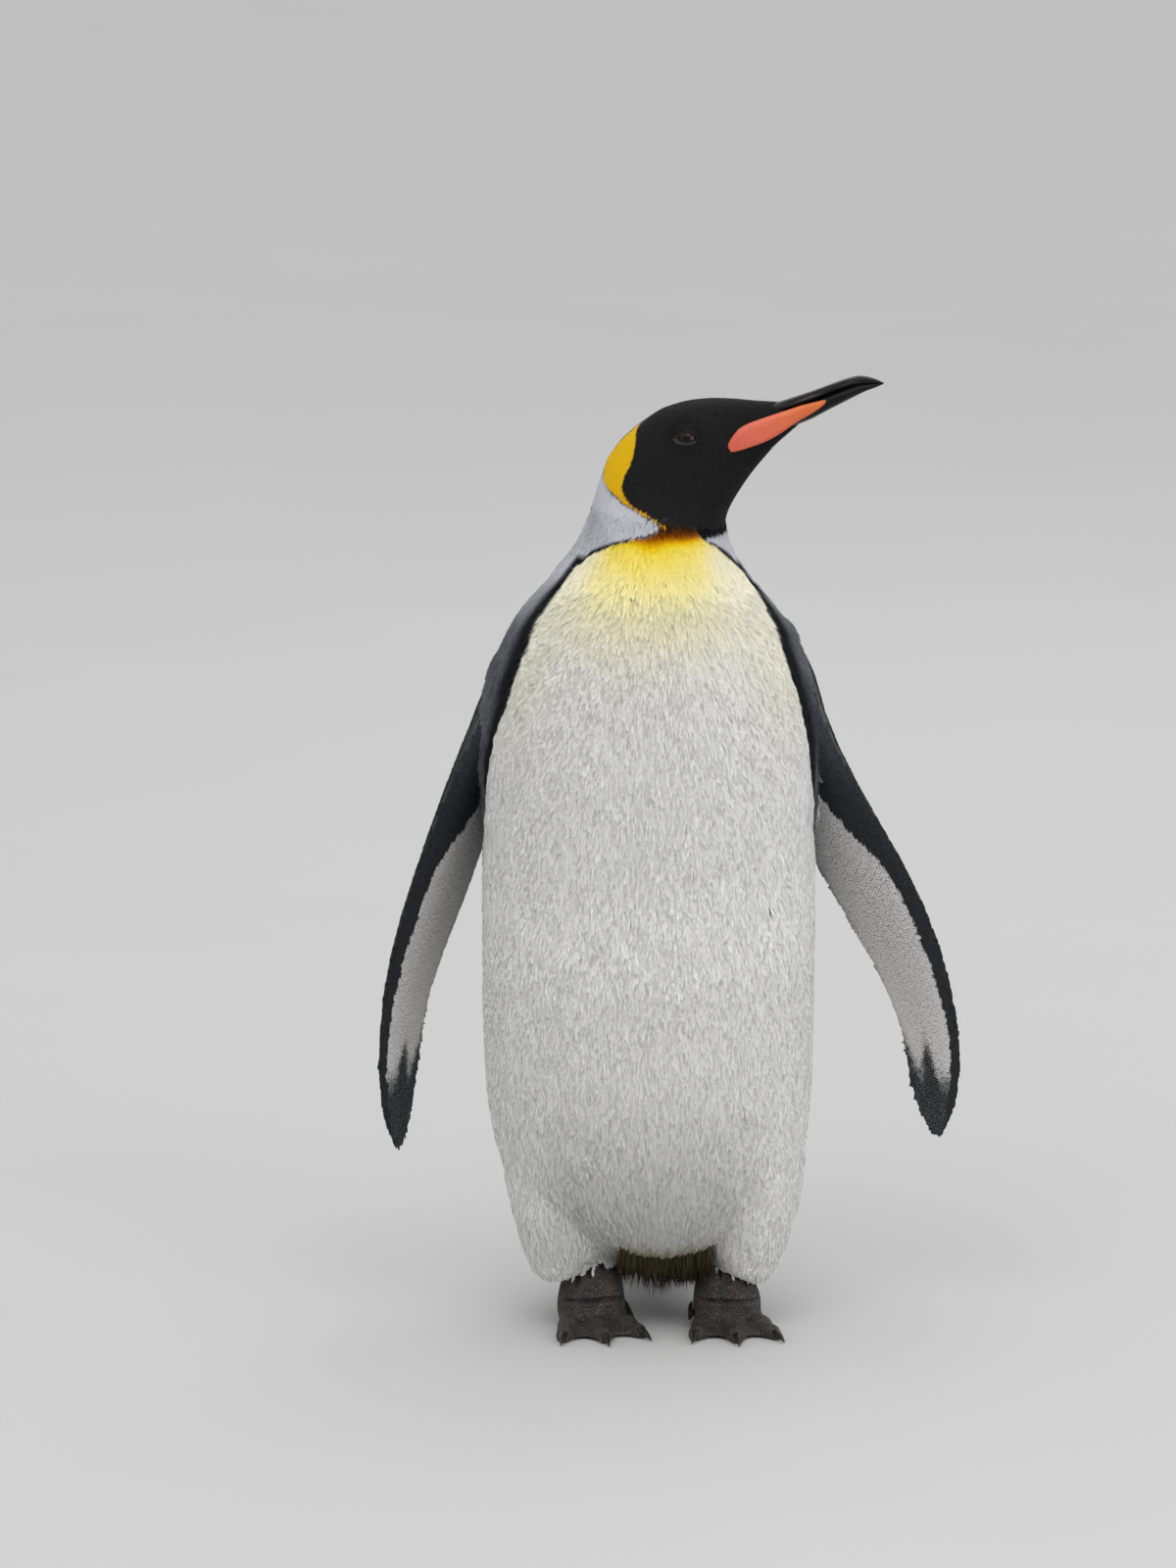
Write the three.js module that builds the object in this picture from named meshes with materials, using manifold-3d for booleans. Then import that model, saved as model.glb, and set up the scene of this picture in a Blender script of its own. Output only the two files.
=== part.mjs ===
// King penguin standing at rest, its head turned to its own left. Millimetres, +Z up.
// The bird faces -Y, and its left side is at +X. "Forward" below is along the beak's heading.
// The trunk, neck and head are one loft, parted afterwards by thin cuts; the rest is set against it.
import * as THREE from 'three';
import { mergeVertices } from 'three/addons/utils/BufferGeometryUtils.js';
import Module from 'manifold-3d';

const wasm = await Module();
wasm.setup();

// ---- Driving dimensions ----
const GAP = 0.3; // clear space between neighbouring solids
const HEAD_TURN = 75; // degrees that the head is turned from straight ahead
const FLOOR = 0; // level of the soles and the tail's rest

// How finely each part is ringed, and how square its rings are: 1 is an ellipse, less is squarer.
const SIDES = {
  body: 26, beak: 10, plate: 8, slit: 10, flipper: 12, thigh: 14, shank: 12, toe: 8, claw: 6, tail: 12,
};
const RINGS = {
  body: 34, beak: 11, plate: 9, flipper: 15, thigh: 9, shank: 8, toe: 6, claw: 5, hindClaw: 4, tail: 7,
};
const SQUARE = { body: 0.94, beak: 0.8, shank: 0.85, toe: 0.9, tail: 0.85 };

const NECK_CUT = 632; // height of the cut between shoulders and neck
const HEAD_CUT = { z: 684, tilt: -7 }; // the hood's cut, and its slope about the turned head's side axis
const WAIST_CUT = 350; // height of the cut between breast and belly
const BACK_CUT = 20; // depth at which the back is parted from the breast

// Eye: its place on the head, the ball, the lid's thickness over it and half the slit's length and height.
const EYE = { forward: 31, height: 751, radius: 10.5, lid: 0.8, slit: [9.2, 4.0] };
// Beak plate: the ends of its middle line as [forward, height], half its depth, its rim, its thickness,
// how far the line sags, and how much it narrows towards the beak's tip.
const PLATE = {
  rear: [65, 746], front: [149, 786.5], depth: 9.3, rim: 0.4, thick: 3.4, bow: 3.2, narrowing: 0.38,
};
const LEAF = { trim: 0.022, early: 0.66, bluntness: 0.62, edge: 0.35 }; // the plate's outline
// Toe: the middle one's length, its size at the root, how it tapers and falls, its joints' swelling.
const TOE = { length: 64, halfWidth: 11, height: 20, taper: 0.34, fall: 0.42, knuckle: 0.07, joints: 2.5 };
const TOE_END = { from: 0.9, size: 0.66, sink: 2.5 }; // its blunt end, and how deep its flat sole is cut
const TOE_START = 52; // where the toes leave the ankle, forward of the foot's own origin
const WEB = { reach: 0.88, hollow: 0.2, rootHeight: 10.5, fall: 4.6, dip: 1.6, underside: 1.2, cells: 4 };
const CLAW = { length: 19, halfWidth: 4.3, root: 5, height: 6.4, drop: 4.6, taper: 0.86, bluntness: 1.4 };
// Hind claw: its root and its run as [inward, forward, up].
const HIND_CLAW = { base: [26, 36, 15], run: [6, 20, -7], halfWidth: 5.2, taper: 0.8, bluntness: 1.3 };
const FOOT_HEADING = 8; // degrees that both feet point towards the bird's left
const SHANK_OUT = { right: -57, left: 53 }; // where each shank stands
const FLIPPER = { turnedBy: 0.45, leadingBulge: 0.45 }; // share of its length where its turn is complete
const TAIL_LEAN = 24; // degrees that the tail's feathers lean back from upright

// Stations of the body from the vent to the beak. Each ring runs from a point of the back to a point
// of the front, both as [forward, height] from the axis, and is `half` wide to each side of it.
const stations = [
  { back: [-74, 28], front: [-8, 42], half: 24, turn: 0, axis: [0, 0] },
  { back: [-84, 32], front: [36, 51], half: 46, turn: 0, axis: [0, 0] },
  { back: [-92, 44], front: [68, 63], half: 71, turn: 0, axis: [0, 0] },
  { back: [-97, 64], front: [88, 80], half: 93, turn: 0, axis: [0, 0] },
  { back: [-100, 89], front: [104, 102], half: 111, turn: 0, axis: [-1, 0] },
  { back: [-102, 120], front: [115, 130], half: 125, turn: 0, axis: [-2, 0] },
  { back: [-103, 165], front: [122, 170], half: 134.5, turn: 0, axis: [-3.5, 0] },
  { back: [-104, 220], front: [126, 224], half: 138.5, turn: 0, axis: [-5, 0] },
  { back: [-104, 285], front: [125, 288], half: 140, turn: 0, axis: [-5, 0] },
  { back: [-102.5, 355], front: [122, 355], half: 140.2, turn: 0, axis: [-5, 0] },
  { back: [-100, 425], front: [118, 422], half: 139.6, turn: 0, axis: [-5, 0] },
  { back: [-97, 487], front: [113, 480], half: 138, turn: 0, axis: [-5, 0] },
  { back: [-93.5, 534], front: [107, 525], half: 134.5, turn: 0, axis: [-5, 0] },
  { back: [-89, 572], front: [100, 560], half: 127, turn: 0, axis: [-5, 0] },
  { back: [-84, 602], front: [92, 588], half: 113, turn: 4, axis: [-5, 1] },
  { back: [-79, 627], front: [82, 613], half: 92, turn: 12, axis: [-3, 2] },
  { back: [-75, 649], front: [70, 637], half: 71, turn: 28, axis: [0, 3] },
  { back: [-66, 670], front: [59, 658], half: 56.5, turn: 52, axis: [4, 2] },
  { back: [-58, 693], front: [53, 675], half: 50, turn: 69, axis: [6, 0] },
  { back: [-50, 716], front: [57, 687], half: 46, turn: HEAD_TURN, axis: [5, 0] },
  { back: [-41, 737], front: [64, 699], half: 43, turn: HEAD_TURN, axis: [5, 0] },
  { back: [-22.5, 755], front: [72, 711.5], half: 40.5, turn: HEAD_TURN, axis: [5, 0] },
  { back: [-2, 770.5], front: [81, 723.5], half: 38, turn: HEAD_TURN, axis: [5, 0] },
  { back: [23, 779], front: [90.5, 734.5], half: 34, turn: HEAD_TURN, axis: [5, 0] },
  { back: [47, 781.5], front: [99.5, 744.5], half: 27.5, turn: HEAD_TURN, axis: [5, 0] },
  { back: [70, 781], front: [109, 752.5], half: 21, turn: HEAD_TURN, axis: [5, 0] },
  { back: [88, 780.5], front: [117.5, 760], half: 16, turn: HEAD_TURN, axis: [5, 0] },
  { back: [102, 781], front: [125, 766], half: 12.3, turn: HEAD_TURN, axis: [5, 0] },
];

// Stations of the beak along its length: its ridge, its biting edge and its keel, as [forward, height].
const beakStations = [
  { ridge: [95, 778], edge: [99, 768], keel: [106, 757.5], half: 12.0 },
  { ridge: [107, 782], edge: [113, 774.8], keel: [120, 763.5], half: 10.6 },
  { ridge: [120, 787], edge: [125, 779.8], keel: [131, 769.4], half: 9.2 },
  { ridge: [133, 792], edge: [137.5, 784.4], keel: [143, 776], half: 7.9 },
  { ridge: [146, 796.8], edge: [150, 788.6], keel: [155, 782.8], half: 6.7 },
  { ridge: [158.5, 800.6], edge: [162, 792.2], keel: [166, 788.3], half: 5.5 },
  { ridge: [170, 802.6], edge: [172.5, 795.2], keel: [175, 792.6], half: 4.4 },
  { ridge: [180.5, 801.4], edge: [181.8, 797.4], keel: [183, 795.8], half: 3.0 },
  { ridge: [189, 798.6], edge: [189, 797.6], keel: [187.6, 797], half: 1.0 },
];

// Each flipper hangs along its own line, [out, back, up] from shoulder to tip, and faces the front
// by a different angle: the chord's turn out of the fore-and-aft line, at the shoulder and the hand.
const flippers = {
  right: {
    side: -1,
    line: [
      [84, 8, 600], [107, 8, 568], [126, 9, 522], [142, 11, 474], [159, 13, 424],
      [176, 17, 375], [193, 22, 325], [206, 27, 280], [213, 31, 235], [216, 34, 192], [216, 36, 136],
    ],
    chordTurn: [12, 39],
  },
  left: {
    side: 1,
    line: [
      [84, 8, 600], [104, 8, 568], [115, 9, 520], [128, 11, 474], [149, 13, 424],
      [177, 17, 374], [202, 22, 325], [221, 27, 280], [232, 31, 238], [237, 34, 196], [240, 36, 146],
    ],
    chordTurn: [14, 58],
  },
};
const flipperChord = [34, 62, 72, 79, 84, 86, 82, 70, 62, 52, 10];
const flipperThickness = [16, 36, 31, 24, 17, 13, 11, 9.5, 8, 6, 2.5];

// Thigh, as rings from inside the flank to the hem: [out, forward, up, half across, half along, slope].
const thighStations = [
  [68, 10, 214, 34, 46, 0], [76, 15, 182, 48, 62, 0], [79, 20, 148, 49.5, 66, 0.02],
  [78, 26, 116, 47, 61, 0.08], [74, 31, 88, 42.5, 53, 0.2], [71, 35, 68, 37, 45, 0.36],
  [69, 38, 54, 29, 36, 0.48], [67, 39, 48, 20, 26, 0.5],
];
// Shank, as rings from inside the thigh to the sole: [sideways, forward, up, half across, half along].
const shankStations = [
  [0, 34, 92, 17, 17], [0, 35, 66, 20, 19], [1, 38, 46, 24.5, 22],
  [2, 42, 28, 28.5, 26], [2, 43, 14, 29.5, 29], [2, 41, 5, 27, 28], [2, 40, -2, 24, 26],
];

// The toes of one foot: the angle each spreads by, its length against the middle toe, and where it starts.
const toes = {
  inner: { spread: -19, length: 0.82, start: -17 },
  middle: { spread: -2, length: 1.0, start: 2 },
  outer: { spread: 15, length: 0.9, start: 20 },
};

// Tail, as rings from the rump to the tip: [back, up, half across, half thick].
const tailStations = [
  [62, 128, 38, 16], [83, 100, 46, 17], [101, 73, 48, 14.5], [116, 48, 45, 11],
  [130, 25, 40, 8], [141, 6, 34, 6], [147, -8, 28, 5],
];

// ---- Shaping helpers ----
const UP = new THREE.Vector3(0, 0, 1);
const radians = THREE.MathUtils.degToRad;
const signedPower = (value, power) => Math.sign(value) * Math.abs(value) ** power;

/** A smooth value of a list of numbers, or of lists of numbers, at t from 0 to 1. */
function along(list, t) {
  const place = t * (list.length - 1);
  const start = Math.min(Math.floor(place), list.length - 2);
  const [before, from, to, after] = [-1, 0, 1, 2].map(
    (step) => list[THREE.MathUtils.clamp(start + step, 0, list.length - 1)],
  );
  const blend = (a, b, c, d) => {
    const f = place - start;
    const [slope, bend, twist] = [c - a, 2 * a - 5 * b + 4 * c - d, 3 * b - a - 3 * c + d];
    return b + 0.5 * (slope * f + bend * f ** 2 + twist * f ** 3);
  };
  if (!Array.isArray(from)) return blend(before, from, to, after);
  return from.map((_, k) => blend(before[k], from[k], to[k], after[k]));
}

/** The closed surface through rings of equal count, with a flat fan over each end. */
function closedLoft(rings) {
  const sides = rings[0].length;
  const points = rings.flat();
  const ends = [rings[0], rings[rings.length - 1]].map((ring) =>
    ring.reduce((sum, p) => sum.add(p), new THREE.Vector3()).divideScalar(sides));
  const faces = [];
  for (let r = 0; r < rings.length - 1; r += 1) {
    for (let k = 0; k < sides; k += 1) {
      const [a, b] = [r * sides + k, r * sides + ((k + 1) % sides)];
      faces.push([a, b, b + sides], [a, b + sides, a + sides]);
    }
  }
  const last = (rings.length - 1) * sides;
  for (let k = 0; k < sides; k += 1) {
    const next = (k + 1) % sides;
    faces.push([points.length, next, k], [points.length + 1, last + k, last + next]);
  }
  const all = [...points, ...ends];
  const volume = faces.reduce((sum, [a, b, c]) => sum + all[a].dot(all[b].clone().cross(all[c])), 0);
  const outward = volume > 0 ? faces : faces.map(([a, b, c]) => [a, c, b]);
  const geometry = new THREE.BufferGeometry().setFromPoints(all);
  geometry.setIndex(outward.flat());
  return geometry;
}

/** One ring: from its centre, `across` and `lengthwise` are its half axes; power under 1 squares it. */
function ring(centre, across, lengthwise, sides, power = 1, shape = () => 1) {
  return Array.from({ length: sides }, (_, k) => {
    const angle = (2 * Math.PI * k) / sides;
    return centre.clone()
      .addScaledVector(across, signedPower(Math.sin(angle), power) * shape(angle))
      .addScaledVector(lengthwise, signedPower(Math.cos(angle), power));
  });
}

/** A closed geometry as a solid that can be joined and cut. */
function solid(geometry) {
  const bare = geometry.clone();
  bare.deleteAttribute('normal');
  bare.deleteAttribute('uv');
  const merged = mergeVertices(bare, 1e-5);
  return new wasm.Manifold(new wasm.Mesh({
    numProp: 3,
    vertProperties: Float32Array.from(merged.attributes.position.array),
    triVerts: Uint32Array.from(merged.index.array),
  }));
}

/** The largest single body of a cut solid, as a geometry. */
function bodyOf(shape) {
  const bodies = shape.decompose().sort((a, b) => b.volume() - a.volume());
  const mesh = bodies[0].getMesh();
  const geometry = new THREE.BufferGeometry();
  const positions = new Float32Array(mesh.numVert * 3);
  for (let v = 0; v < mesh.numVert; v += 1) {
    positions.set(mesh.vertProperties.slice(v * mesh.numProp, v * mesh.numProp + 3), v * 3);
  }
  geometry.setAttribute('position', new THREE.BufferAttribute(positions, 3));
  geometry.setIndex(new THREE.BufferAttribute(Uint32Array.from(mesh.triVerts), 1));
  return geometry;
}

/** A half space: everything on the `towards` side of a plane through `point`. */
function halfSpace(point, towards) {
  const size = 2400;
  const geometry = new THREE.BoxGeometry(size, size, size);
  geometry.translate(0, 0, size / 2);
  const turn = new THREE.Quaternion().setFromUnitVectors(UP, towards.clone().normalize());
  geometry.applyQuaternion(turn);
  geometry.translate(point.x, point.y, point.z);
  return solid(geometry);
}

/** Parts a solid by a plane, taking half the gap from each side: [the towards side, the other]. */
function part(shape, point, towards) {
  const step = towards.clone().normalize().multiplyScalar(GAP / 2);
  return [
    shape.intersect(halfSpace(point.clone().add(step), towards)),
    shape.intersect(halfSpace(point.clone().sub(step), towards.clone().negate())),
  ];
}

// ---- Body loft ----
const forwardOf = (turn) => new THREE.Vector3(Math.sin(radians(turn)), -Math.cos(radians(turn)), 0);
const rightOf = (turn) => new THREE.Vector3(-Math.cos(radians(turn)), -Math.sin(radians(turn)), 0);

/** Trunk, neck and head in one, every section widened by `grow`. */
function bodyLoft(grow = 0) {
  const numbers = stations.map((s) => [...s.back, ...s.front, s.half, s.turn, ...s.axis]);
  const rings = Array.from({ length: RINGS.body }, (_, k) => {
    const [backH, backZ, frontH, frontZ, half, turn, axisX, axisY] = along(numbers, k / (RINGS.body - 1));
    const forward = forwardOf(turn);
    const point = (h, z) => new THREE.Vector3(axisX, axisY, z).addScaledVector(forward, h);
    const [back, front] = [point(backH, backZ), point(frontH, frontZ)];
    const reach = front.clone().sub(back).multiplyScalar(0.5);
    const centre = back.clone().add(front).multiplyScalar(0.5);
    reach.setLength(reach.length() + grow);
    return ring(centre, rightOf(turn).multiplyScalar(half + grow), reach, SIDES.body, SQUARE.body);
  });
  return solid(closedLoft(rings));
}

/** A place on the turned head: forward, to the bird's right, and up. */
function headPlace(forward, right, up) {
  const axis = stations[stations.length - 1].axis;
  return new THREE.Vector3(axis[0], axis[1], up)
    .addScaledVector(forwardOf(HEAD_TURN), forward)
    .addScaledVector(rightOf(HEAD_TURN), right);
}

/** The head's up direction, leant back by an angle. */
function leaningBack(angle) {
  return UP.clone().multiplyScalar(Math.cos(angle)).addScaledVector(forwardOf(HEAD_TURN), -Math.sin(angle));
}

// ---- Head parts ----
// Cuts across the head from crown to throat, and across the lower beak from its edge to its keel,
// each as two points of the middle plane and half the width there.
const headCuts = stations.filter((s) => s.turn === HEAD_TURN).map((s) => [...s.back, ...s.front, s.half]);
const lowerBeakCuts = beakStations.map((s) => [...s.edge, ...s.keel, s.half]);

/** How far the surface over such cuts stands out sideways at a place of the middle plane. */
function sideAt(cuts, forward, height) {
  const steps = 160;
  let nearest = { miss: Infinity, side: 0 };
  for (let k = 0; k <= steps; k += 1) {
    const [fromH, fromZ, toH, toZ, half] = along(cuts, k / steps);
    const reach = [(toH - fromH) / 2, (toZ - fromZ) / 2];
    const offset = [forward - fromH - reach[0], height - fromZ - reach[1]];
    const length = Math.hypot(...reach);
    const miss = Math.abs(reach[0] * offset[1] - reach[1] * offset[0]) / length;
    const share = (offset[0] * reach[0] + offset[1] * reach[1]) / length ** 2;
    if (miss < nearest.miss && Math.abs(share) < 1) {
      nearest = { miss, side: half * Math.sqrt(1 - share ** 2) };
    }
  }
  return nearest.side;
}

const eyeCentre = (side) => headPlace(
  EYE.forward,
  side * (sideAt(headCuts, EYE.forward, EYE.height) - EYE.lid - EYE.radius),
  EYE.height,
);

function eyeball(side, grow = 0) {
  const geometry = new THREE.SphereGeometry(EYE.radius + grow, 12, 8);
  geometry.translate(...eyeCentre(side).toArray());
  return solid(geometry);
}

/** The slit between the lids, as a prism through the lid in front of the eyeball. */
function lidSlit(side) {
  const outward = rightOf(HEAD_TURN).multiplyScalar(side);
  const long = forwardOf(HEAD_TURN).multiplyScalar(EYE.slit[0]);
  const high = new THREE.Vector3(0, 0, EYE.slit[1]);
  const rings = [EYE.radius * 0.5, EYE.radius * 2].map((reach) =>
    ring(eyeCentre(side).addScaledVector(outward, reach), high, long, SIDES.slit));
  return solid(closedLoft(rings));
}

/** Upper or lower half of the beak, from inside the face to the tip. */
function beakHalf(upper, grow = 0) {
  const numbers = beakStations.map((s) => [...s.ridge, ...s.edge, ...s.keel, s.half]);
  const rings = Array.from({ length: RINGS.beak }, (_, k) => {
    const [ridgeH, ridgeZ, edgeH, edgeZ, keelH, keelZ, half] = along(numbers, k / (RINGS.beak - 1));
    const clear = GAP / 2 - grow;
    const edge = headPlace(edgeH, 0, edgeZ + (upper ? clear : -clear));
    const far = upper ? headPlace(ridgeH, 0, ridgeZ + grow) : headPlace(keelH, 0, keelZ - grow);
    const reach = far.clone().sub(edge).multiplyScalar(0.5);
    const centre = edge.clone().add(far).multiplyScalar(0.5);
    const across = rightOf(HEAD_TURN).multiplyScalar(half + grow);
    return ring(centre, across, reach, SIDES.beak, SQUARE.beak);
  });
  return solid(closedLoft(rings));
}

/** Coloured plate along the side of the lower beak, let into the cheek and the horn. */
function beakPlate(side, grow = 0) {
  const { rear, front, depth, rim, thick, narrowing } = PLATE;
  const slope = Math.atan2(front[1] - rear[1], front[0] - rear[0]);
  const rings = Array.from({ length: RINGS.plate }, (_, k) => {
    const t = k / (RINGS.plate - 1);
    const share = THREE.MathUtils.lerp(LEAF.trim, 1 - LEAF.trim, t) ** LEAF.early;
    const fullness = Math.sin(Math.PI * share) ** LEAF.bluntness;
    const sag = PLATE.bow * Math.sin(Math.PI * t);
    const forward = THREE.MathUtils.lerp(rear[0], front[0], t) + sag * Math.sin(slope);
    const height = THREE.MathUtils.lerp(rear[1], front[1], t) - sag;
    const lateral = Math.max(sideAt(headCuts, forward, height), sideAt(lowerBeakCuts, forward, height));
    const centre = headPlace(forward, side * (lateral - thick * PLATE.rim), height);
    const up = leaningBack(slope);
    return ring(
      centre,
      up.multiplyScalar(depth * fullness * (1 - narrowing * t) + rim + grow),
      rightOf(HEAD_TURN).multiplyScalar(thick * THREE.MathUtils.lerp(LEAF.edge, 1, fullness) + grow),
      SIDES.plate,
    );
  });
  return solid(closedLoft(rings));
}

// ---- Limbs and tail ----
/** A flipper: a thin blade with a thick leading edge, fading into the shoulder. */
function flipper({ side, line, chordTurn }) {
  const places = line.map(([out, back, up]) => [side * out, back, up]);
  const step = 0.02; // share of the length over which the heading is taken
  const rings = Array.from({ length: RINGS.flipper }, (_, k) => {
    const t = k / (RINGS.flipper - 1);
    const centre = new THREE.Vector3(...along(places, t));
    const tangent = new THREE.Vector3(...along(places, Math.min(1, t + step)))
      .sub(new THREE.Vector3(...along(places, Math.max(0, t - step)))).normalize();
    const outward = new THREE.Vector3(side, 0, 0).addScaledVector(tangent, -side * tangent.x).normalize();
    const ahead = new THREE.Vector3().crossVectors(tangent, outward).normalize();
    if (ahead.y > 0) ahead.negate();
    const turned = THREE.MathUtils.smoothstep(t, 0, FLIPPER.turnedBy);
    const turn = radians(THREE.MathUtils.lerp(...chordTurn, turned));
    const chord = outward.clone().multiplyScalar(Math.sin(turn)).addScaledVector(ahead, Math.cos(turn));
    const through = new THREE.Vector3().crossVectors(tangent, chord).normalize();
    const thickness = along(flipperThickness, t);
    return ring(
      centre,
      through.multiplyScalar(thickness / 2),
      chord.multiplyScalar(along(flipperChord, t) / 2),
      SIDES.flipper,
      1,
      (angle) => 1 + FLIPPER.leadingBulge * Math.cos(angle),
    );
  });
  return solid(closedLoft(rings));
}

/** A thigh: a full feathered drumstick whose hem is lower on its outer side. */
function thigh(side, grow = 0) {
  const rings = Array.from({ length: RINGS.thigh }, (_, k) => {
    const [out, forward, up, halfX, halfY, slope] = along(thighStations, k / (RINGS.thigh - 1));
    const centre = new THREE.Vector3(side * out, -forward, up);
    const across = new THREE.Vector3(side, 0, -slope).multiplyScalar(halfX + grow);
    return ring(centre, across, new THREE.Vector3(0, halfY + grow, 0), SIDES.thigh);
  });
  return solid(closedLoft(rings));
}

/** The frame of a foot: its own ahead and sideways directions on the floor. */
function footFrame(out) {
  const ahead = forwardOf(FOOT_HEADING);
  const aside = new THREE.Vector3(-ahead.y, ahead.x, 0);
  const place = (sideways, forward, up) =>
    new THREE.Vector3(out, 0, up).addScaledVector(ahead, forward).addScaledVector(aside, sideways);
  return { place, ahead, aside };
}

/** A shank and ankle, broad and flattened, down to the sole. */
function shank(out, side, grow = 0) {
  const { place, ahead, aside } = footFrame(out);
  const rings = Array.from({ length: RINGS.shank }, (_, k) => {
    const [sideways, forward, up, halfX, halfY] = along(shankStations, k / (RINGS.shank - 1));
    const centre = place(side * sideways, forward, up);
    return ring(
      centre,
      aside.clone().multiplyScalar(halfX + grow),
      ahead.clone().multiplyScalar(halfY + grow),
      SIDES.shank,
      SQUARE.shank,
    );
  });
  return solid(closedLoft(rings));
}

/** The line of a toe: its root, its tip and its heading. `side` mirrors the spread. */
function toeLine(out, side, { spread, length, start }) {
  const { place, aside, ahead } = footFrame(out);
  const angle = radians(spread * side);
  const heading = ahead.clone().multiplyScalar(Math.cos(angle)).addScaledVector(aside, Math.sin(angle));
  const root = place(start * side, TOE_START, 0);
  return { root, heading, reach: TOE.length * length };
}

/** A toe with its joints' swellings, flat beneath. */
function toe(out, side, kind, grow = 0) {
  const { root, heading, reach } = toeLine(out, side, kind);
  const across = new THREE.Vector3(-heading.y, heading.x, 0);
  const rings = Array.from({ length: RINGS.toe }, (_, k) => {
    const t = k / (RINGS.toe - 1);
    const knuckle = 1 + TOE.knuckle * Math.cos(2 * Math.PI * TOE.joints * t);
    const size = knuckle * (t > TOE_END.from ? TOE_END.size : 1);
    const high = TOE.height * (1 - TOE.fall * t) * size;
    const centre = root.clone().addScaledVector(heading, t * (reach + grow)).setZ(high / 2 - TOE_END.sink);
    return ring(
      centre,
      across.clone().multiplyScalar(TOE.halfWidth * (1 - TOE.taper * t) * size + grow),
      new THREE.Vector3(0, 0, high / 2 + grow),
      SIDES.toe,
      SQUARE.toe,
    );
  });
  return solid(closedLoft(rings));
}

/** A claw: a blunt curved spike from the toe's end, its tip close to the floor. */
function claw(out, side, kind) {
  const { root, heading, reach } = toeLine(out, side, kind);
  const across = new THREE.Vector3(-heading.y, heading.x, 0);
  const rings = Array.from({ length: RINGS.claw }, (_, k) => {
    const t = k / (RINGS.claw - 1);
    const size = CLAW.halfWidth * (1 - CLAW.taper * t ** CLAW.bluntness);
    const centre = root.clone().addScaledVector(heading, reach - CLAW.root + CLAW.length * t);
    centre.setZ(CLAW.height - CLAW.drop * t ** 2);
    return ring(centre, across.clone().multiplyScalar(size), new THREE.Vector3(0, 0, size), SIDES.claw);
  });
  return solid(closedLoft(rings));
}

/** The web between two toes: a thin skin that rises to each toe and has a hollow front edge. */
function web(out, side, first, second) {
  const [a, b] = [toeLine(out, side, first), toeLine(out, side, second)];
  const cells = WEB.cells;
  const grid = (top) => Array.from({ length: cells }, (_, r) =>
    Array.from({ length: cells }, (__, c) => {
      const [s, t] = [r / (cells - 1), c / (cells - 1)];
      const share = WEB.reach * s * (1 - WEB.hollow * Math.sin(Math.PI * t));
      const from = a.root.clone().addScaledVector(a.heading, a.reach * share);
      const to = b.root.clone().addScaledVector(b.heading, b.reach * share);
      const height = top ? WEB.rootHeight - WEB.fall * s - WEB.dip * Math.sin(Math.PI * t) : WEB.underside;
      return from.lerp(to, t).setZ(height);
    }));
  const [upper, lower] = [grid(true), grid(false)];
  const rings = upper.map((row, r) => [...row, ...lower[r].reverse()]);
  return solid(closedLoft(rings));
}

/** The short hind claw on the inner side of the ankle. */
function hindClaw(out, side) {
  const { place, aside } = footFrame(out);
  const rings = Array.from({ length: RINGS.hindClaw }, (_, k) => {
    const t = k / (RINGS.hindClaw - 1);
    const size = HIND_CLAW.halfWidth * (1 - HIND_CLAW.taper * t ** HIND_CLAW.bluntness);
    const [inward, forward, up] = HIND_CLAW.base.map((start, axis) => start + HIND_CLAW.run[axis] * t);
    const centre = place(-side * inward, forward, up);
    return ring(centre, aside.clone().multiplyScalar(size), new THREE.Vector3(0, 0, size), SIDES.claw);
  });
  return solid(closedLoft(rings));
}

/** The stiff wedge of tail feathers that props the bird from behind. */
function tail(grow = 0) {
  const lean = radians(TAIL_LEAN);
  const rings = Array.from({ length: RINGS.tail }, (_, k) => {
    const [back, up, half, thick] = along(tailStations, k / (RINGS.tail - 1));
    const through = new THREE.Vector3(0, Math.cos(lean), Math.sin(lean)).multiplyScalar(thick + grow);
    const across = new THREE.Vector3(half + grow, 0, 0);
    return ring(new THREE.Vector3(0, back, up), across, through, SIDES.tail, SQUARE.tail);
  });
  return solid(closedLoft(rings));
}

// ---- Assembly ----
const aboveFloor = halfSpace(new THREE.Vector3(0, 0, FLOOR), UP);
const colours = {
  hood: 0x17161a, mantle: 0x76808c, white: 0xeeeae2, gold: 0xe8c23a, horn: 0x1b1b20,
  plate: 0xd8674a, eye: 0x2a1712, slate: 0x4a525c, foot: 0x241f1d, tail: 0x2e3238,
};
const model = new THREE.Group();

/** Adds a finished solid to the model as one named mesh. */
function add(name, shape, colour, roughness = 0.8) {
  const material = new THREE.MeshStandardMaterial({ color: colours[colour], roughness, metalness: 0 });
  const mesh = new THREE.Mesh(bodyOf(shape), material);
  mesh.name = name;
  model.add(mesh);
}

const body = bodyLoft();
const grownBody = bodyLoft(GAP);
const headSides = { right: 1, left: -1 }; // +1 is the head's own right side
const bodySides = { right: -1, left: 1 }; // the sign of x on each side of the trunk

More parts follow.
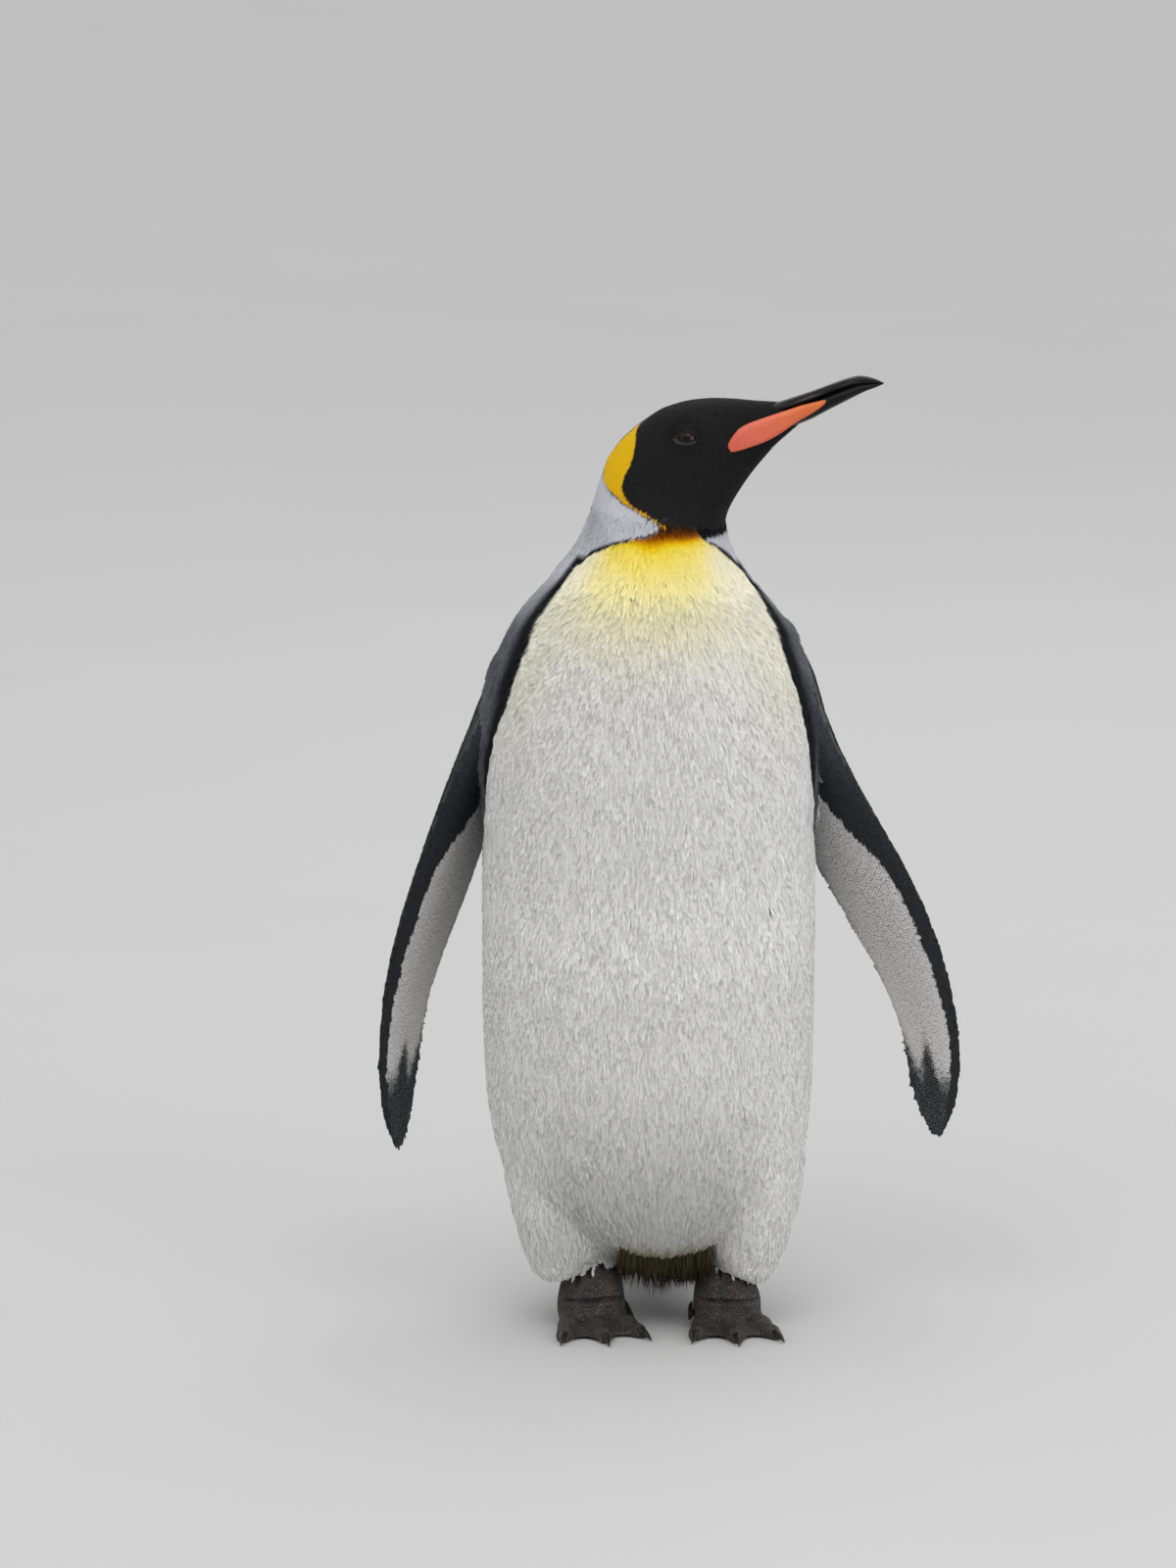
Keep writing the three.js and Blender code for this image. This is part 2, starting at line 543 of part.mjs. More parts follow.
// Head: cut from the loft by the hood's plane, then opened for the eyes and the beak's plates.
const [headBlock, rest] = part(body, headPlace(0, 0, HEAD_CUT.z), leaningBack(radians(HEAD_CUT.tilt)));
const [neckBlock, trunk] = part(rest, new THREE.Vector3(0, 0, NECK_CUT), UP);
let headShape = headBlock;
let [upperBeak, lowerBeak] = [beakHalf(true), beakHalf(false)];
for (const side of Object.values(headSides)) {
  headShape = headShape.subtract(eyeball(side, GAP)).subtract(lidSlit(side)).subtract(beakPlate(side, GAP));
  upperBeak = upperBeak.subtract(beakPlate(side, GAP));
  lowerBeak = lowerBeak.subtract(beakPlate(side, GAP));
}
add('head', headShape, 'hood');
add('neck', neckBlock, 'mantle');
add('upper_beak', upperBeak.subtract(grownBody), 'horn', 0.4);
add('lower_beak', lowerBeak.subtract(grownBody), 'horn', 0.4);
for (const [name, side] of Object.entries(headSides)) {
  add(`beak_plate_${name}`, beakPlate(side), 'plate', 0.45);
  add(`eye_${name}`, eyeball(side), 'eye', 0.1);
}

// Trunk: hollowed for the thighs and the tail's root, then parted at the waist and along the flanks.
let trunkShape = trunk.subtract(tail(GAP));
for (const side of Object.values(bodySides)) trunkShape = trunkShape.subtract(thigh(side, GAP));
const [upperTrunk, lowerTrunk] = part(trunkShape, new THREE.Vector3(0, 0, WAIST_CUT), UP);
const rearward = new THREE.Vector3(0, 1, 0);
const flank = new THREE.Vector3(0, BACK_CUT, 0);
const [mantle, breast] = part(upperTrunk, flank, rearward);
const [rump, belly] = part(lowerTrunk, flank, rearward);
add('breast', breast, 'white');
add('mantle', mantle, 'mantle');
add('belly', belly, 'white');
add('rump', rump, 'mantle');
add('tail', tail().intersect(aboveFloor), 'tail');

// Limbs.
for (const [name, side] of Object.entries(bodySides)) {
  const out = SHANK_OUT[name];
  add(`flipper_${name}`, flipper(flippers[name]).subtract(grownBody), 'slate');
  add(`thigh_${name}`, thigh(side), 'white');
  const bareShank = shank(out, side).subtract(thigh(side, GAP)).subtract(grownBody);
  const grownShank = shank(out, side, GAP);
  add(`shank_${name}`, bareShank.intersect(aboveFloor), 'foot');
  const grownToes = Object.values(toes).map((kind) => toe(out, side, kind, GAP));
  Object.entries(toes).forEach(([which, kind], k) => {
    const others = grownToes.slice(0, k).reduce((shape, other) => shape.add(other), grownShank);
    add(`toe_${which}_${name}`, toe(out, side, kind).subtract(others).intersect(aboveFloor), 'foot');
    const bareClaw = claw(out, side, kind).subtract(grownToes[k]);
    add(`claw_${which}_${name}`, bareClaw.intersect(aboveFloor), 'horn', 0.4);
  });
  const allToes = grownToes.reduce((shape, other) => shape.add(other), grownShank);
  add(`web_inner_${name}`, web(out, side, toes.inner, toes.middle).subtract(allToes), 'foot');
  add(`web_outer_${name}`, web(out, side, toes.middle, toes.outer).subtract(allToes), 'foot');
  add(`hind_claw_${name}`, hindClaw(out, side).subtract(grownShank).subtract(grownToes[0]), 'horn', 0.4);
}

// The row's origin is under the middle of the whole bird, at floor level.
const box = new THREE.Box3().setFromObject(model);
model.position.set(-(box.min.x + box.max.x) / 2, -(box.min.y + box.max.y) / 2, -box.min.z);
model.updateMatrixWorld(true);

export default model;
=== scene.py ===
"""King penguin, still model: one skin, a coat of feathers, horn and eyes over the fixed construction.

Everything is in metres in the construction's own frame: the bird faces -Y and its left side is at +X.
"""
from __future__ import annotations

import logging
import math
from dataclasses import dataclass, replace
from enum import Enum
from typing import Callable

import bmesh
import bpy
import numpy as np
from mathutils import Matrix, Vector
from mathutils.bvhtree import BVHTree


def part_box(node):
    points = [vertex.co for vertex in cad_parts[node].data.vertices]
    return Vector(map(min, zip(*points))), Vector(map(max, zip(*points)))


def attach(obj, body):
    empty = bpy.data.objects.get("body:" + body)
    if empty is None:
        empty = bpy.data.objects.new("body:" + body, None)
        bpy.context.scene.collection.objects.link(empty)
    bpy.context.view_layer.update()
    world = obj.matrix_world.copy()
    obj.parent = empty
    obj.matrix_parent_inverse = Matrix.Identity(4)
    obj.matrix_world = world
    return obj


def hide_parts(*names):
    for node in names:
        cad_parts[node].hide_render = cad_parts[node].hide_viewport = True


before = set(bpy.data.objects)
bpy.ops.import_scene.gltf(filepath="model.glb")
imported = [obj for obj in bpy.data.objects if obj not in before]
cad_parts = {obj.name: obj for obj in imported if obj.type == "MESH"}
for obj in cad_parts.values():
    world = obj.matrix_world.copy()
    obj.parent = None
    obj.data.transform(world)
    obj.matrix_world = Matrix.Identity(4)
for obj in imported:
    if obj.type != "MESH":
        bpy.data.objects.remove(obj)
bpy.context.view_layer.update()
LOG = logging.getLogger("king_penguin")
MM = 0.001
UP = np.array([0.0, 0.0, 1.0])
SIDES = {"right": 1.0, "left": -1.0}  # the sign towards the bird's own right
FOOT_PARTS = ("shank", "toe", "web")


# ---- Small helpers ----
def smoothstep(low: float, high: float, value: np.ndarray) -> np.ndarray:
    """Rises smoothly from 0 at low to 1 at high."""
    t = np.clip((value - low) / (high - low), 0.0, 1.0)
    return t * t * (3.0 - 2.0 * t)


def unit(vectors: np.ndarray) -> np.ndarray:
    """Vectors scaled to length 1."""
    return vectors / np.maximum(np.linalg.norm(vectors, axis=-1, keepdims=True), 1e-12)


def mix(a: np.ndarray, b: np.ndarray, share: np.ndarray) -> np.ndarray:
    """Colours a and b mixed by a share for each row; either may be one colour for all rows."""
    share = np.asarray(share)[:, None]
    return a * (1.0 - share) + b * share


def linear(*display: float) -> np.ndarray:
    """A linear colour from display values of 0 to 255."""
    value = np.array(display) / 255.0
    return np.where(value <= 0.04045, value / 12.92, ((value + 0.055) / 1.055) ** 2.4)


def along(stations: np.ndarray, t: float) -> np.ndarray:
    """A smooth value of a list of stations, at t from 0 to 1."""
    place = t * (len(stations) - 1)
    start = min(int(place), len(stations) - 2)
    a, b, c, d = (stations[min(max(start + k, 0), len(stations) - 1)] for k in (-1, 0, 1, 2))
    f = place - start
    return b + 0.5 * ((c - a) * f + (2 * a - 5 * b + 4 * c - d) * f * f + (3 * b - a - 3 * c + d) * f**3)


def ripple(points: np.ndarray, size: float, seed: int) -> np.ndarray:
    """A smooth wandering value between about -1 and 1 at each point, from a few crossing waves.

    Args:
        points: places in metres.
        size: typical distance between crests, in metres.
        seed: which pattern.
    """
    rng = np.random.default_rng(seed)
    waves = unit(rng.normal(size=(7, 3))) * (rng.uniform(0.7, 1.4, (7, 1)) * 2.0 * math.pi / size)
    phases = rng.uniform(0.0, 2.0 * math.pi, 7)
    return np.sin(points @ waves.T + phases).sum(1) / 2.6


def new_object(name: str, mesh: bpy.types.Mesh) -> bpy.types.Object:
    """Links a mesh as a new object at the origin."""
    piece = bpy.data.objects.new(name, mesh)
    bpy.context.scene.collection.objects.link(piece)
    return piece


def mesh_from(name: str, points: np.ndarray, faces: np.ndarray) -> bpy.types.Mesh:
    """A mesh of equal-sided faces from arrays, shaded smooth."""
    mesh = bpy.data.meshes.new(name)
    count, corners = faces.shape
    mesh.vertices.add(len(points))
    mesh.vertices.foreach_set("co", np.ascontiguousarray(points, dtype=np.float32).ravel())
    mesh.loops.add(count * corners)
    mesh.loops.foreach_set("vertex_index", np.ascontiguousarray(faces, dtype=np.int32).ravel())
    mesh.polygons.add(count)
    mesh.polygons.foreach_set("loop_start", np.arange(count, dtype=np.int32) * corners)
    mesh.update(calc_edges=True)
    mesh.validate()
    mesh.shade_smooth()
    return mesh


def fetch(items: bpy.types.bpy_prop_collection, field: str, width: int, kind: type = np.float32) -> np.ndarray:
    """One field of every item of a mesh's list, as rows of `width` numbers."""
    flat = np.empty(len(items) * width, dtype=kind)
    items.foreach_get(field, flat)
    return flat.reshape(-1, width)


def points_of(mesh: bpy.types.Mesh) -> np.ndarray:
    """The places of a mesh's vertices."""
    return fetch(mesh.vertices, "co", 3).astype(float)


def normals_of(mesh: bpy.types.Mesh) -> np.ndarray:
    """The vertex normals of a mesh."""
    return fetch(mesh.vertex_normals, "vector", 3).astype(float)


def stored(mesh: bpy.types.Mesh, name: str) -> np.ndarray:
    """A stored vector of each vertex."""
    return fetch(mesh.attributes[name].data, "vector", 3).astype(float)


def triangles_of(mesh: bpy.types.Mesh) -> np.ndarray:
    """The vertex numbers of a mesh's triangles."""
    mesh.calc_loop_triangles()
    return fetch(mesh.loop_triangles, "vertices", 3, np.int32)


def move(mesh: bpy.types.Mesh, points: np.ndarray) -> None:
    """Moves a mesh's vertices to new places."""
    mesh.vertices.foreach_set("co", points.astype(np.float32).ravel())
    mesh.update()


def give(mesh: bpy.types.Mesh, name: str, values: np.ndarray) -> None:
    """Stores one number, or one vector, for each vertex."""
    kind = "FLOAT" if values.ndim == 1 else "FLOAT_VECTOR"
    store = mesh.attributes.new(name, kind, "POINT")
    store.data.foreach_set("value" if values.ndim == 1 else "vector", values.astype(np.float32).ravel())


def give_colour(mesh: bpy.types.Mesh, colours: np.ndarray) -> None:
    """Stores the colour `tint` for each vertex."""
    store = mesh.color_attributes.new("tint", "FLOAT_COLOR", "POINT")
    full = np.concatenate([np.clip(colours, 0.0, 1.0), np.ones((len(colours), 1))], axis=1)
    store.data.foreach_set("color", full.astype(np.float32).ravel())


def settled(piece: bpy.types.Object) -> bpy.types.Object:
    """Turns a piece and its modifiers into a plain mesh."""
    view = bpy.context.evaluated_depsgraph_get()
    result = bpy.data.meshes.new_from_object(piece.evaluated_get(view), depsgraph=view)
    old = piece.data
    piece.modifiers.clear()
    piece.data = result
    bpy.data.meshes.remove(old)
    return piece


def refine(mesh: bpy.types.Mesh, wanted: Callable[[Vector], bool], cuts: int) -> None:
    """Splits the faces whose middles are wanted, a number of times."""
    grid = bmesh.new()
    grid.from_mesh(mesh)
    for _ in range(cuts):
        edges = {edge for face in grid.faces if wanted(face.calc_center_median()) for edge in face.edges}
        bmesh.ops.subdivide_edges(grid, edges=list(edges), cuts=1, use_grid_fill=True)
        bmesh.ops.triangulate(grid, faces=[face for face in grid.faces if len(face.verts) > 3])
    grid.to_mesh(mesh)
    grid.free()
    mesh.shade_smooth()


def set_out(piece: bpy.types.Object, slot: str, *nodes: str) -> bpy.types.Object:
    """Hands a finished piece to the frame, in the place of its construction nodes."""
    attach(piece, "root")
    if nodes:
        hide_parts(*nodes)
    LOG.info("%s: %d faces", piece.name, len(piece.data.polygons))
    return piece


# ---- Landmarks ----
class Landmarks:
    """Places of the bird that the pieces share, read from the construction."""

    BACK_CUT = 20.15 * MM  # how far the trunk's axis lies in front of the mantle's foremost cut
    HEAD_SET = 31.0 * MM  # how far the eyes lie ahead of the head's axis
    TRUNK_SET = 5.0 * MM  # how far the front's middle lies to the left of the trunk's axis

    def __init__(self) -> None:
        """Finds the trunk's axis, the head's directions and the eyes."""
        left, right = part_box("thigh_left"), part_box("thigh_right")
        middle_x = (left[0].x + left[1].x + right[0].x + right[1].x) / 4.0
        self.origin = np.array([middle_x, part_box("mantle")[0].y - self.BACK_CUT, 0.0])
        eyes = {side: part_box(f"eye_{side}") for side in SIDES}
        self.eye = {side: np.array((low + high) / 2.0) for side, (low, high) in eyes.items()}
        self.eye_radius = (eyes["right"][1].z - eyes["right"][0].z) / 2.0
        across = self.eye["right"] - self.eye["left"]
        self.right = unit(np.array([across[0], across[1], 0.0]))
        self.forward = np.array([-self.right[1], self.right[0], 0.0])
        centre = (self.eye["right"] + self.eye["left"]) / 2.0
        self.head = centre - self.forward * self.HEAD_SET
        self.head[2] = 0.0

    def head_place(self, forward: float, right: float, up: float) -> np.ndarray:
        """A place on the turned head, from millimetres forward, to its right and up."""
        return self.head + (self.forward * forward + self.right * right + UP * up) * MM

    def head_angles(self, points: np.ndarray) -> tuple[np.ndarray, np.ndarray]:
        """Each point's angle about the head, 0 ahead and 180 at the nape, and its height in mm."""
        offset = points - self.head
        angle = np.degrees(np.arctan2(offset @ self.right, offset @ self.forward))
        return angle, points[:, 2] / MM

    def trunk_angles(self, points: np.ndarray) -> tuple[np.ndarray, np.ndarray]:
        """Each point's angle about the trunk, 0 in front and positive to its right, and its height in mm."""
        offset = points - self.origin
        angle = np.degrees(np.arctan2(-(offset[:, 0] + self.TRUNK_SET), -offset[:, 1]))
        return angle, points[:, 2] / MM


@dataclass(frozen=True)
class Eyelid:
    """The slit between the lids of one half-closed eye."""

    centre: np.ndarray
    radius: float
    forward: np.ndarray
    outward: np.ndarray
    half_width: float = 0.93
    half_height: float = 0.33
    tilt: float = 0.04

    def opening(self, points: np.ndarray) -> tuple[np.ndarray, np.ndarray]:
        """How far inside the slit each point is, and how far above its middle, in eye radii."""
        offset = (points - self.centre) / self.radius
        ahead = offset @ self.forward
        high = offset[:, 2] - self.tilt * ahead
        curve = self.half_height * np.clip(1.0 - (ahead / self.half_width) ** 2, 0.0, 1.0) ** 0.75
        past = np.maximum(np.abs(ahead) - self.half_width, 0.0)
        inside = np.where(past > 0.0, -np.hypot(past, high), curve - np.abs(high))
        near = (offset @ self.outward > 0.2) & (np.linalg.norm(offset, axis=1) < 2.4)
        return np.where(near, inside, -9.0), high

    def draw(self, points: np.ndarray) -> np.ndarray:
        """Draws skin over the eyeball as two lids with folds, leaving the slit open."""
        inside, high = self.opening(points)
        offset = points - self.centre
        reach = np.linalg.norm(offset, axis=1)
        rim = np.exp(-((inside + 0.08) / 0.06) ** 2) * 0.55
        fold = np.exp(-((inside + 0.38) / 0.07) ** 2) * np.where(high > 0, -0.55, -0.35)
        cover = self.radius + (0.75 + rim + fold) * MM
        share = smoothstep(-0.03, 0.03, inside)
        lid = np.maximum(reach + fold * MM, cover) * (1.0 - share) + (self.radius - 1.8 * MM) * share
        fade = smoothstep(1.9, 1.2, reach / self.radius) * (inside > -8.0)
        goal = self.centre + offset * (lid / np.maximum(reach, 1e-9))[:, None]
        return points + (goal - points) * fade[:, None]


class Vent:
    """The patch between the legs where the coat is stained and the fringe hangs, in mm."""

    MIDDLE = 9.0  # to the left of the trunk's axis
    HALF = 40.0
    BOW = 13.0  # how much higher its edge lies at the sides

    @classmethod
    def sideways(cls, offset: np.ndarray) -> np.ndarray:
        """The place across the patch, from -1 to 1, for offsets from the trunk's axis in mm."""
        return (offset[:, 0] - cls.MIDDLE) / cls.HALF


# ---- Markings ----
class Hue:
    """The coat's colours, as linear values."""

    HOOD = np.array([0.0105, 0.0102, 0.0112])
    GREY = np.array([0.50, 0.51, 0.56])
    SLATE = np.array([0.100, 0.106, 0.120])
    RUMP = np.array([0.075, 0.084, 0.100])
    BORDER = np.array([0.013, 0.014, 0.016])
    CREAM = np.array([0.90, 0.86, 0.66])
    PATCH_TOP = np.array([0.74, 0.44, 0.003])
    PATCH_LOW = np.array([0.66, 0.32, 0.002])
    FLIPPER_DARK = np.array([0.030, 0.033, 0.038])
    FLIPPER_PALE = np.array([0.66, 0.65, 0.64])
    VENT = np.array([0.058, 0.049, 0.028])
    OLIVE = np.array([0.24, 0.22, 0.07])
    # painted shade and dirt: the grey of the lower belly where it curves under
    GRIME_AND_SHADE = np.array([0.44, 0.44, 0.43])
    TAIL = np.array([0.030, 0.030, 0.034])
    FOOT = np.array([0.026, 0.023, 0.021])
    LID = np.array([0.030, 0.027, 0.027])
    BREAST = (  # by height in mm, from the hood's edge down
        (684.0, (0.013, 0.013, 0.012)), (678.0, (0.030, 0.017, 0.004)), (674.0, (0.105, 0.028, 0.002)),
        (671.0, (0.17, 0.038, 0.001)), (668.0, (0.34, 0.093, 0.001)), (664.8, (0.71, 0.33, 0.002)),
        (661.6, (0.88, 0.57, 0.005)), (658.0, (0.92, 0.69, 0.050)), (654.0, (0.93, 0.73, 0.10)),
        (645.0, (0.93, 0.76, 0.17)), (628.0, (0.92, 0.80, 0.32)), (603.0, (0.91, 0.84, 0.50)),
        (580.0, (0.90, 0.86, 0.66)), (552.0, (0.89, 0.87, 0.80)), (510.0, (0.88, 0.875, 0.86)),
    )


@dataclass(frozen=True)
class Markings:
    """Where each colour lies, as curves about the head and the trunk (degrees against mm of height)."""

    marks: Landmarks
    hood_edge: tuple = (
        (0, 668), (20, 667), (35, 666.5), (44, 665.6), (53, 667.7), (62, 671), (71, 677), (84, 684),
        (100, 690.6), (114, 696), (126, 702), (139, 707), (150, 712), (165, 718), (180, 722),
    )
    patch_inner: tuple = (
        (759, 152), (757, 141), (753, 130), (748, 121), (743, 116), (735, 114), (727, 115), (719, 119.5),
        (709, 120.5), (702, 116), (696, 108.5), (692, 100), (688, 89), (683, 80), (677, 70),
    )
    patch_outer: tuple = (
        (759, 154), (756, 157), (750, 161), (742, 166), (734, 169), (722, 164), (712, 150), (707, 139),
    )
    white_top: tuple = (
        (-84, 634), (-76, 644), (-60, 658), (-50, 664), (-43, 671), (-37, 684), (-30, 687), (-11, 684),
        (-8, 673.5), (4, 669), (22, 665.5), (37, 661.4), (51, 655.5), (60, 650.6), (64, 643),
    )
    white_right: tuple = (
        (60, 128), (140, 112), (250, 100), (350, 91), (417, 81), (459, 77.5), (495, 71.5), (512, 69),
        (530, 65), (546, 64), (563, 61.8), (582, 61.6), (600, 63.4), (626, 65.2), (645, 68),
    )
    white_left: tuple = (
        (60, 128), (140, 112), (250, 100), (350, 91), (417, 82), (459, 79.5), (493, 75.7), (527, 71.7),
        (545, 69.5), (561, 68.2), (577, 69), (592, 73), (607, 77), (621, 83), (640, 84),
    )
    border: tuple = (  # height and the dark border's width, in mm
        (420, 0), (450, 6), (480, 12), (520, 17), (560, 19), (600, 17), (630, 12), (650, 6.5), (660, 3.2),
        (668, 1.4), (680, 0.7),
    )
    reach: tuple = ((500, 138), (560, 125), (600, 105), (640, 75), (680, 55))  # height, radius in mm
    neck_foot: float = 632.0
    patch_top: float = 759.0

    def colours(
        self, points: np.ndarray, normals: np.ndarray, labels: np.ndarray, flippers: dict
    ) -> np.ndarray:
        """The coat's colour at each point.

        Args:
            points: places on the skin or the coat.
            normals: the skin's normal there.
            labels: the name of the construction node that each belongs to.
            flippers: each side's FlipperMap.

        Returns:
            One linear colour for each point.
        """
        around, height = self.marks.trunk_angles(points)
        colours = self.trunk(points, around, height)
        head = np.isin(labels, ["head", "neck"]) | (height > self.neck_foot)
        colours[head] = self.neck_and_head(points[head], colours[head])
        for side, flipper in flippers.items():
            here = labels == f"flipper_{side}"
            colours[here] = flipper.tinted(flipper.pale(points[here], normals[here]), points[here])
        tail = labels == "tail"
        colours[tail] = mix(Hue.RUMP, Hue.TAIL, smoothstep(112.0, 58.0, height[tail]))
        feet = np.any([np.char.startswith(labels, part) for part in FOOT_PARTS], axis=0)
        grain = ripple(points[feet], 9.0 * MM, 5) * 0.15 + ripple(points[feet], 28.0 * MM, 6) * 0.15
        colours[feet] = Hue.FOOT * (1.0 + grain[:, None])
        return np.clip(colours, 0.0, 1.0)

    def trunk(self, points: np.ndarray, around: np.ndarray, height: np.ndarray) -> np.ndarray:
        """White front, golden breast, dark border and slate back."""
        heights = np.array([stop[0] for stop in Hue.BREAST])[::-1]
        stops = np.array([stop[1] for stop in Hue.BREAST])[::-1]
        slope = smoothstep(676.0, 650.0, height)
        shifted = height + ripple(points, 26.0 * MM, 11) * 2.0 * slope - 0.007 * np.abs(around) ** 2 * slope
        front = np.stack([np.interp(shifted, heights, stops[:, k]) for k in range(3)], axis=1)
        sides = smoothstep(34.0, 62.0, np.abs(around)) * smoothstep(455.0, 560.0, height) * slope
        front = mix(front, Hue.CREAM, sides * 0.75)
        # the lower front is painted greyer: partly dirt, partly painted shade where the belly turns under
        down = smoothstep(240.0, 90.0, height) * smoothstep(55.0, 30.0, np.abs(around))
        front = mix(front, Hue.GRIME_AND_SHADE, down * 0.7)
        offset = (points - self.marks.origin) / MM
        sideways = Vent.sideways(offset)
        low = height - Vent.BOW * sideways**2 + 3.0 * ripple(points, 7.0 * MM, 15)
        vent = np.exp(-(sideways**4)) * smoothstep(-100.0, -85.0, offset[:, 1])
        front = mix(front, Hue.OLIVE, vent * smoothstep(78.0, 60.0, low) * 0.8)
        front = mix(front, Hue.VENT, vent * smoothstep(64.0, 54.0, low))
        back = mix(Hue.SLATE, Hue.RUMP, smoothstep(420.0, 120.0, height))
        back = mix(back, Hue.GREY, smoothstep(575.0, 655.0, height))
        back = back * (1.0 + 0.10 * ripple(points, 45.0 * MM, 12))[:, None]
        outside = self.beyond_white(around, height) + 0.5 * ripple(points, 6.0 * MM, 13)
        width = np.interp(height, *zip(*self.border))
        edge = smoothstep(-0.6, 0.6, outside)
        dark = edge * smoothstep(1.0, 0.0, outside / np.maximum(width, 0.01) - 0.6) * (width > 0.5)
        colours = mix(front, back, edge)
        return mix(colours, Hue.BORDER, dark)

    def beyond_white(self, around: np.ndarray, height: np.ndarray) -> np.ndarray:
        """How many millimetres each point lies outside the white front, negative inside it."""
        right, left = (np.interp(height, *zip(*edge)) for edge in (self.white_right, self.white_left))
        limit = np.where(around > 0, right, left)
        sideways = np.radians(np.abs(around) - limit) * np.interp(height, *zip(*self.reach))
        above = height - np.interp(around, *zip(*self.white_top))
        return np.maximum(sideways, above)

    def neck_and_head(self, points: np.ndarray, below: np.ndarray) -> np.ndarray:
        """The hood and the ear patches, over the neck's grey and the breast's gold."""
        angle, height = self.marks.head_angles(points)
        turned = np.abs(angle)
        nape = smoothstep(132.0, 168.0, turned)
        above = height - np.interp(turned, *zip(*self.hood_edge)) + 0.5 * ripple(points, 5.0 * MM, 14)
        hood = smoothstep(-0.7, 0.7, above)
        soft = smoothstep(-8.0, 18.0, above)
        outside = self.beyond_white(*self.marks.trunk_angles(points))
        chin = smoothstep(90.0, 74.0, turned) * smoothstep(1.0, -1.0, outside)
        line = smoothstep(-1.9, -1.2, above) * smoothstep(0.3, -0.3, above)
        line *= smoothstep(56.0, 64.0, turned) * smoothstep(150.0, 130.0, turned)
        below = mix(below, Hue.BORDER, line * 0.85)
        hood = hood * (1.0 - chin) + smoothstep(2.0, 16.0, above) * chin
        colours = mix(below, Hue.HOOD, hood * (1.0 - nape))
        colours = mix(colours, Hue.HOOD, soft * nape)
        inner = np.interp(height, *zip(*self.patch_inner[::-1]))
        outer = np.interp(height, *zip(*self.patch_outer[::-1]))
        within = (turned > inner) & (above > 0.0) & (height < self.patch_top)
        within &= (turned < outer) | (height < 708.0)
        golden = mix(Hue.PATCH_LOW, Hue.PATCH_TOP, smoothstep(684.0, 722.0, height))
        return np.where(within[:, None], golden, colours)


class FlipperMap:
    """Where a point lies on one flipper: along it, across it and on which face."""

    BAND = (  # height in mm, share of the chord that is dark along the leading edge
        (150, 0.20), (215, 0.13), (249, 0.14), (283, 0.155), (317, 0.17), (351, 0.185), (385, 0.20),
        (402, 0.28), (419, 0.40), (437, 0.55), (455, 0.70), (475, 1.2),
    )

    def __init__(self, side: str, points: np.ndarray) -> None:
        """Measures the flipper's run and its two edges by height.

        Args:
            side: "right" or "left".
            points: the flipper's own surface.
        """
        self.levels = np.linspace(points[:, 2].min(), points[:, 2].max(), 40)
        step = (self.levels[1] - self.levels[0]) * 1.2
        rows = [points[np.abs(points[:, 2] - level) < step] for level in self.levels]
        self.middle = np.array([(row.min(0) + row.max(0))[:2] / 2.0 for row in rows])
        spread = np.concatenate([row[:, :2] - middle for row, middle in zip(rows, self.middle)])
        chord = np.linalg.svd(spread, full_matrices=False)[2][0]
        chord = chord * (1.0 if chord[0] * -SIDES[side] > 0 else -1.0)
        self.chord = np.array([*chord, 0.0])
        self.face = np.array([chord[1], -chord[0], 0.0])
        self.face = self.face * (1.0 if self.face[1] < 0 else -1.0)
        reach = [(row[:, :2] - middle) @ chord for row, middle in zip(rows, self.middle)]
        self.lead = np.array([row.max() for row in reach])
        self.trail = np.array([row.min() for row in reach])

    def at(self, table: np.ndarray, height: np.ndarray) -> np.ndarray:
        """One of the measured tables, read at each height."""
        if table.ndim == 1:
            return np.interp(height, self.levels, table)
        return np.stack([np.interp(height, self.levels, column) for column in table.T], axis=-1)

    def across(self, points: np.ndarray) -> np.ndarray:
        """0 at the leading edge, 1 at the trailing edge."""
        height = points[:, 2]
        lead, trail = self.at(self.lead, height), self.at(self.trail, height)
        reach = (points[:, :2] - self.at(self.middle, height)) @ self.chord[:2]
        return (lead - reach) / np.maximum(lead - trail, 1.0 * MM)

    def place(self, height: np.ndarray, across: np.ndarray) -> np.ndarray:
        """The middle of the flipper's thickness at a height and a share of the chord."""
        lead, trail = self.at(self.lead, height), self.at(self.trail, height)
        flat = self.at(self.middle, height) + self.chord[:2] * (lead - across * (lead - trail))[:, None]
        return np.concatenate([flat, height[:, None]], axis=1)

    def pale(self, points: np.ndarray, normals: np.ndarray) -> np.ndarray:
        """How pale each point is, from 0 on the dark parts to 1 on the pale underside."""
        across = self.across(points) + 0.012 * ripple(points, 7.0 * MM, 21)
        height = points[:, 2] / MM + 2.0 * ripple(points, 11.0 * MM, 22)
        band = np.interp(height, *zip(*self.BAND))
        spike = 30.0 * np.exp(-(((across - 0.52) / 0.11) ** 2)) + 34.0 * smoothstep(0.62, 1.0, across)
        tip = smoothstep(182.0, 226.0, height - spike)
        beneath = smoothstep(-0.015, 0.015, across - band) * (0.08 + 0.92 * tip)
        beneath = np.where(across > 0.93, np.minimum(beneath, 0.62), beneath)
        above = smoothstep(0.94, 0.96, across) * smoothstep(200.0, 260.0, height)
        above *= smoothstep(520.0, 480.0, height)
        under = smoothstep(-0.12, 0.12, normals @ self.face)
        return above * (1.0 - under) + beneath * under

    def tinted(self, pale: np.ndarray, points: np.ndarray) -> np.ndarray:
        """The colour for each share of paleness; the dark parts turn slate towards the shoulder."""
        shoulder = smoothstep(430.0, 560.0, points[:, 2] / MM) * 0.85
        dark = mix(Hue.FLIPPER_DARK, Hue.SLATE * 0.8, shoulder)
        return mix(dark, Hue.FLIPPER_PALE, np.clip(pale, 0.0, 1.0))


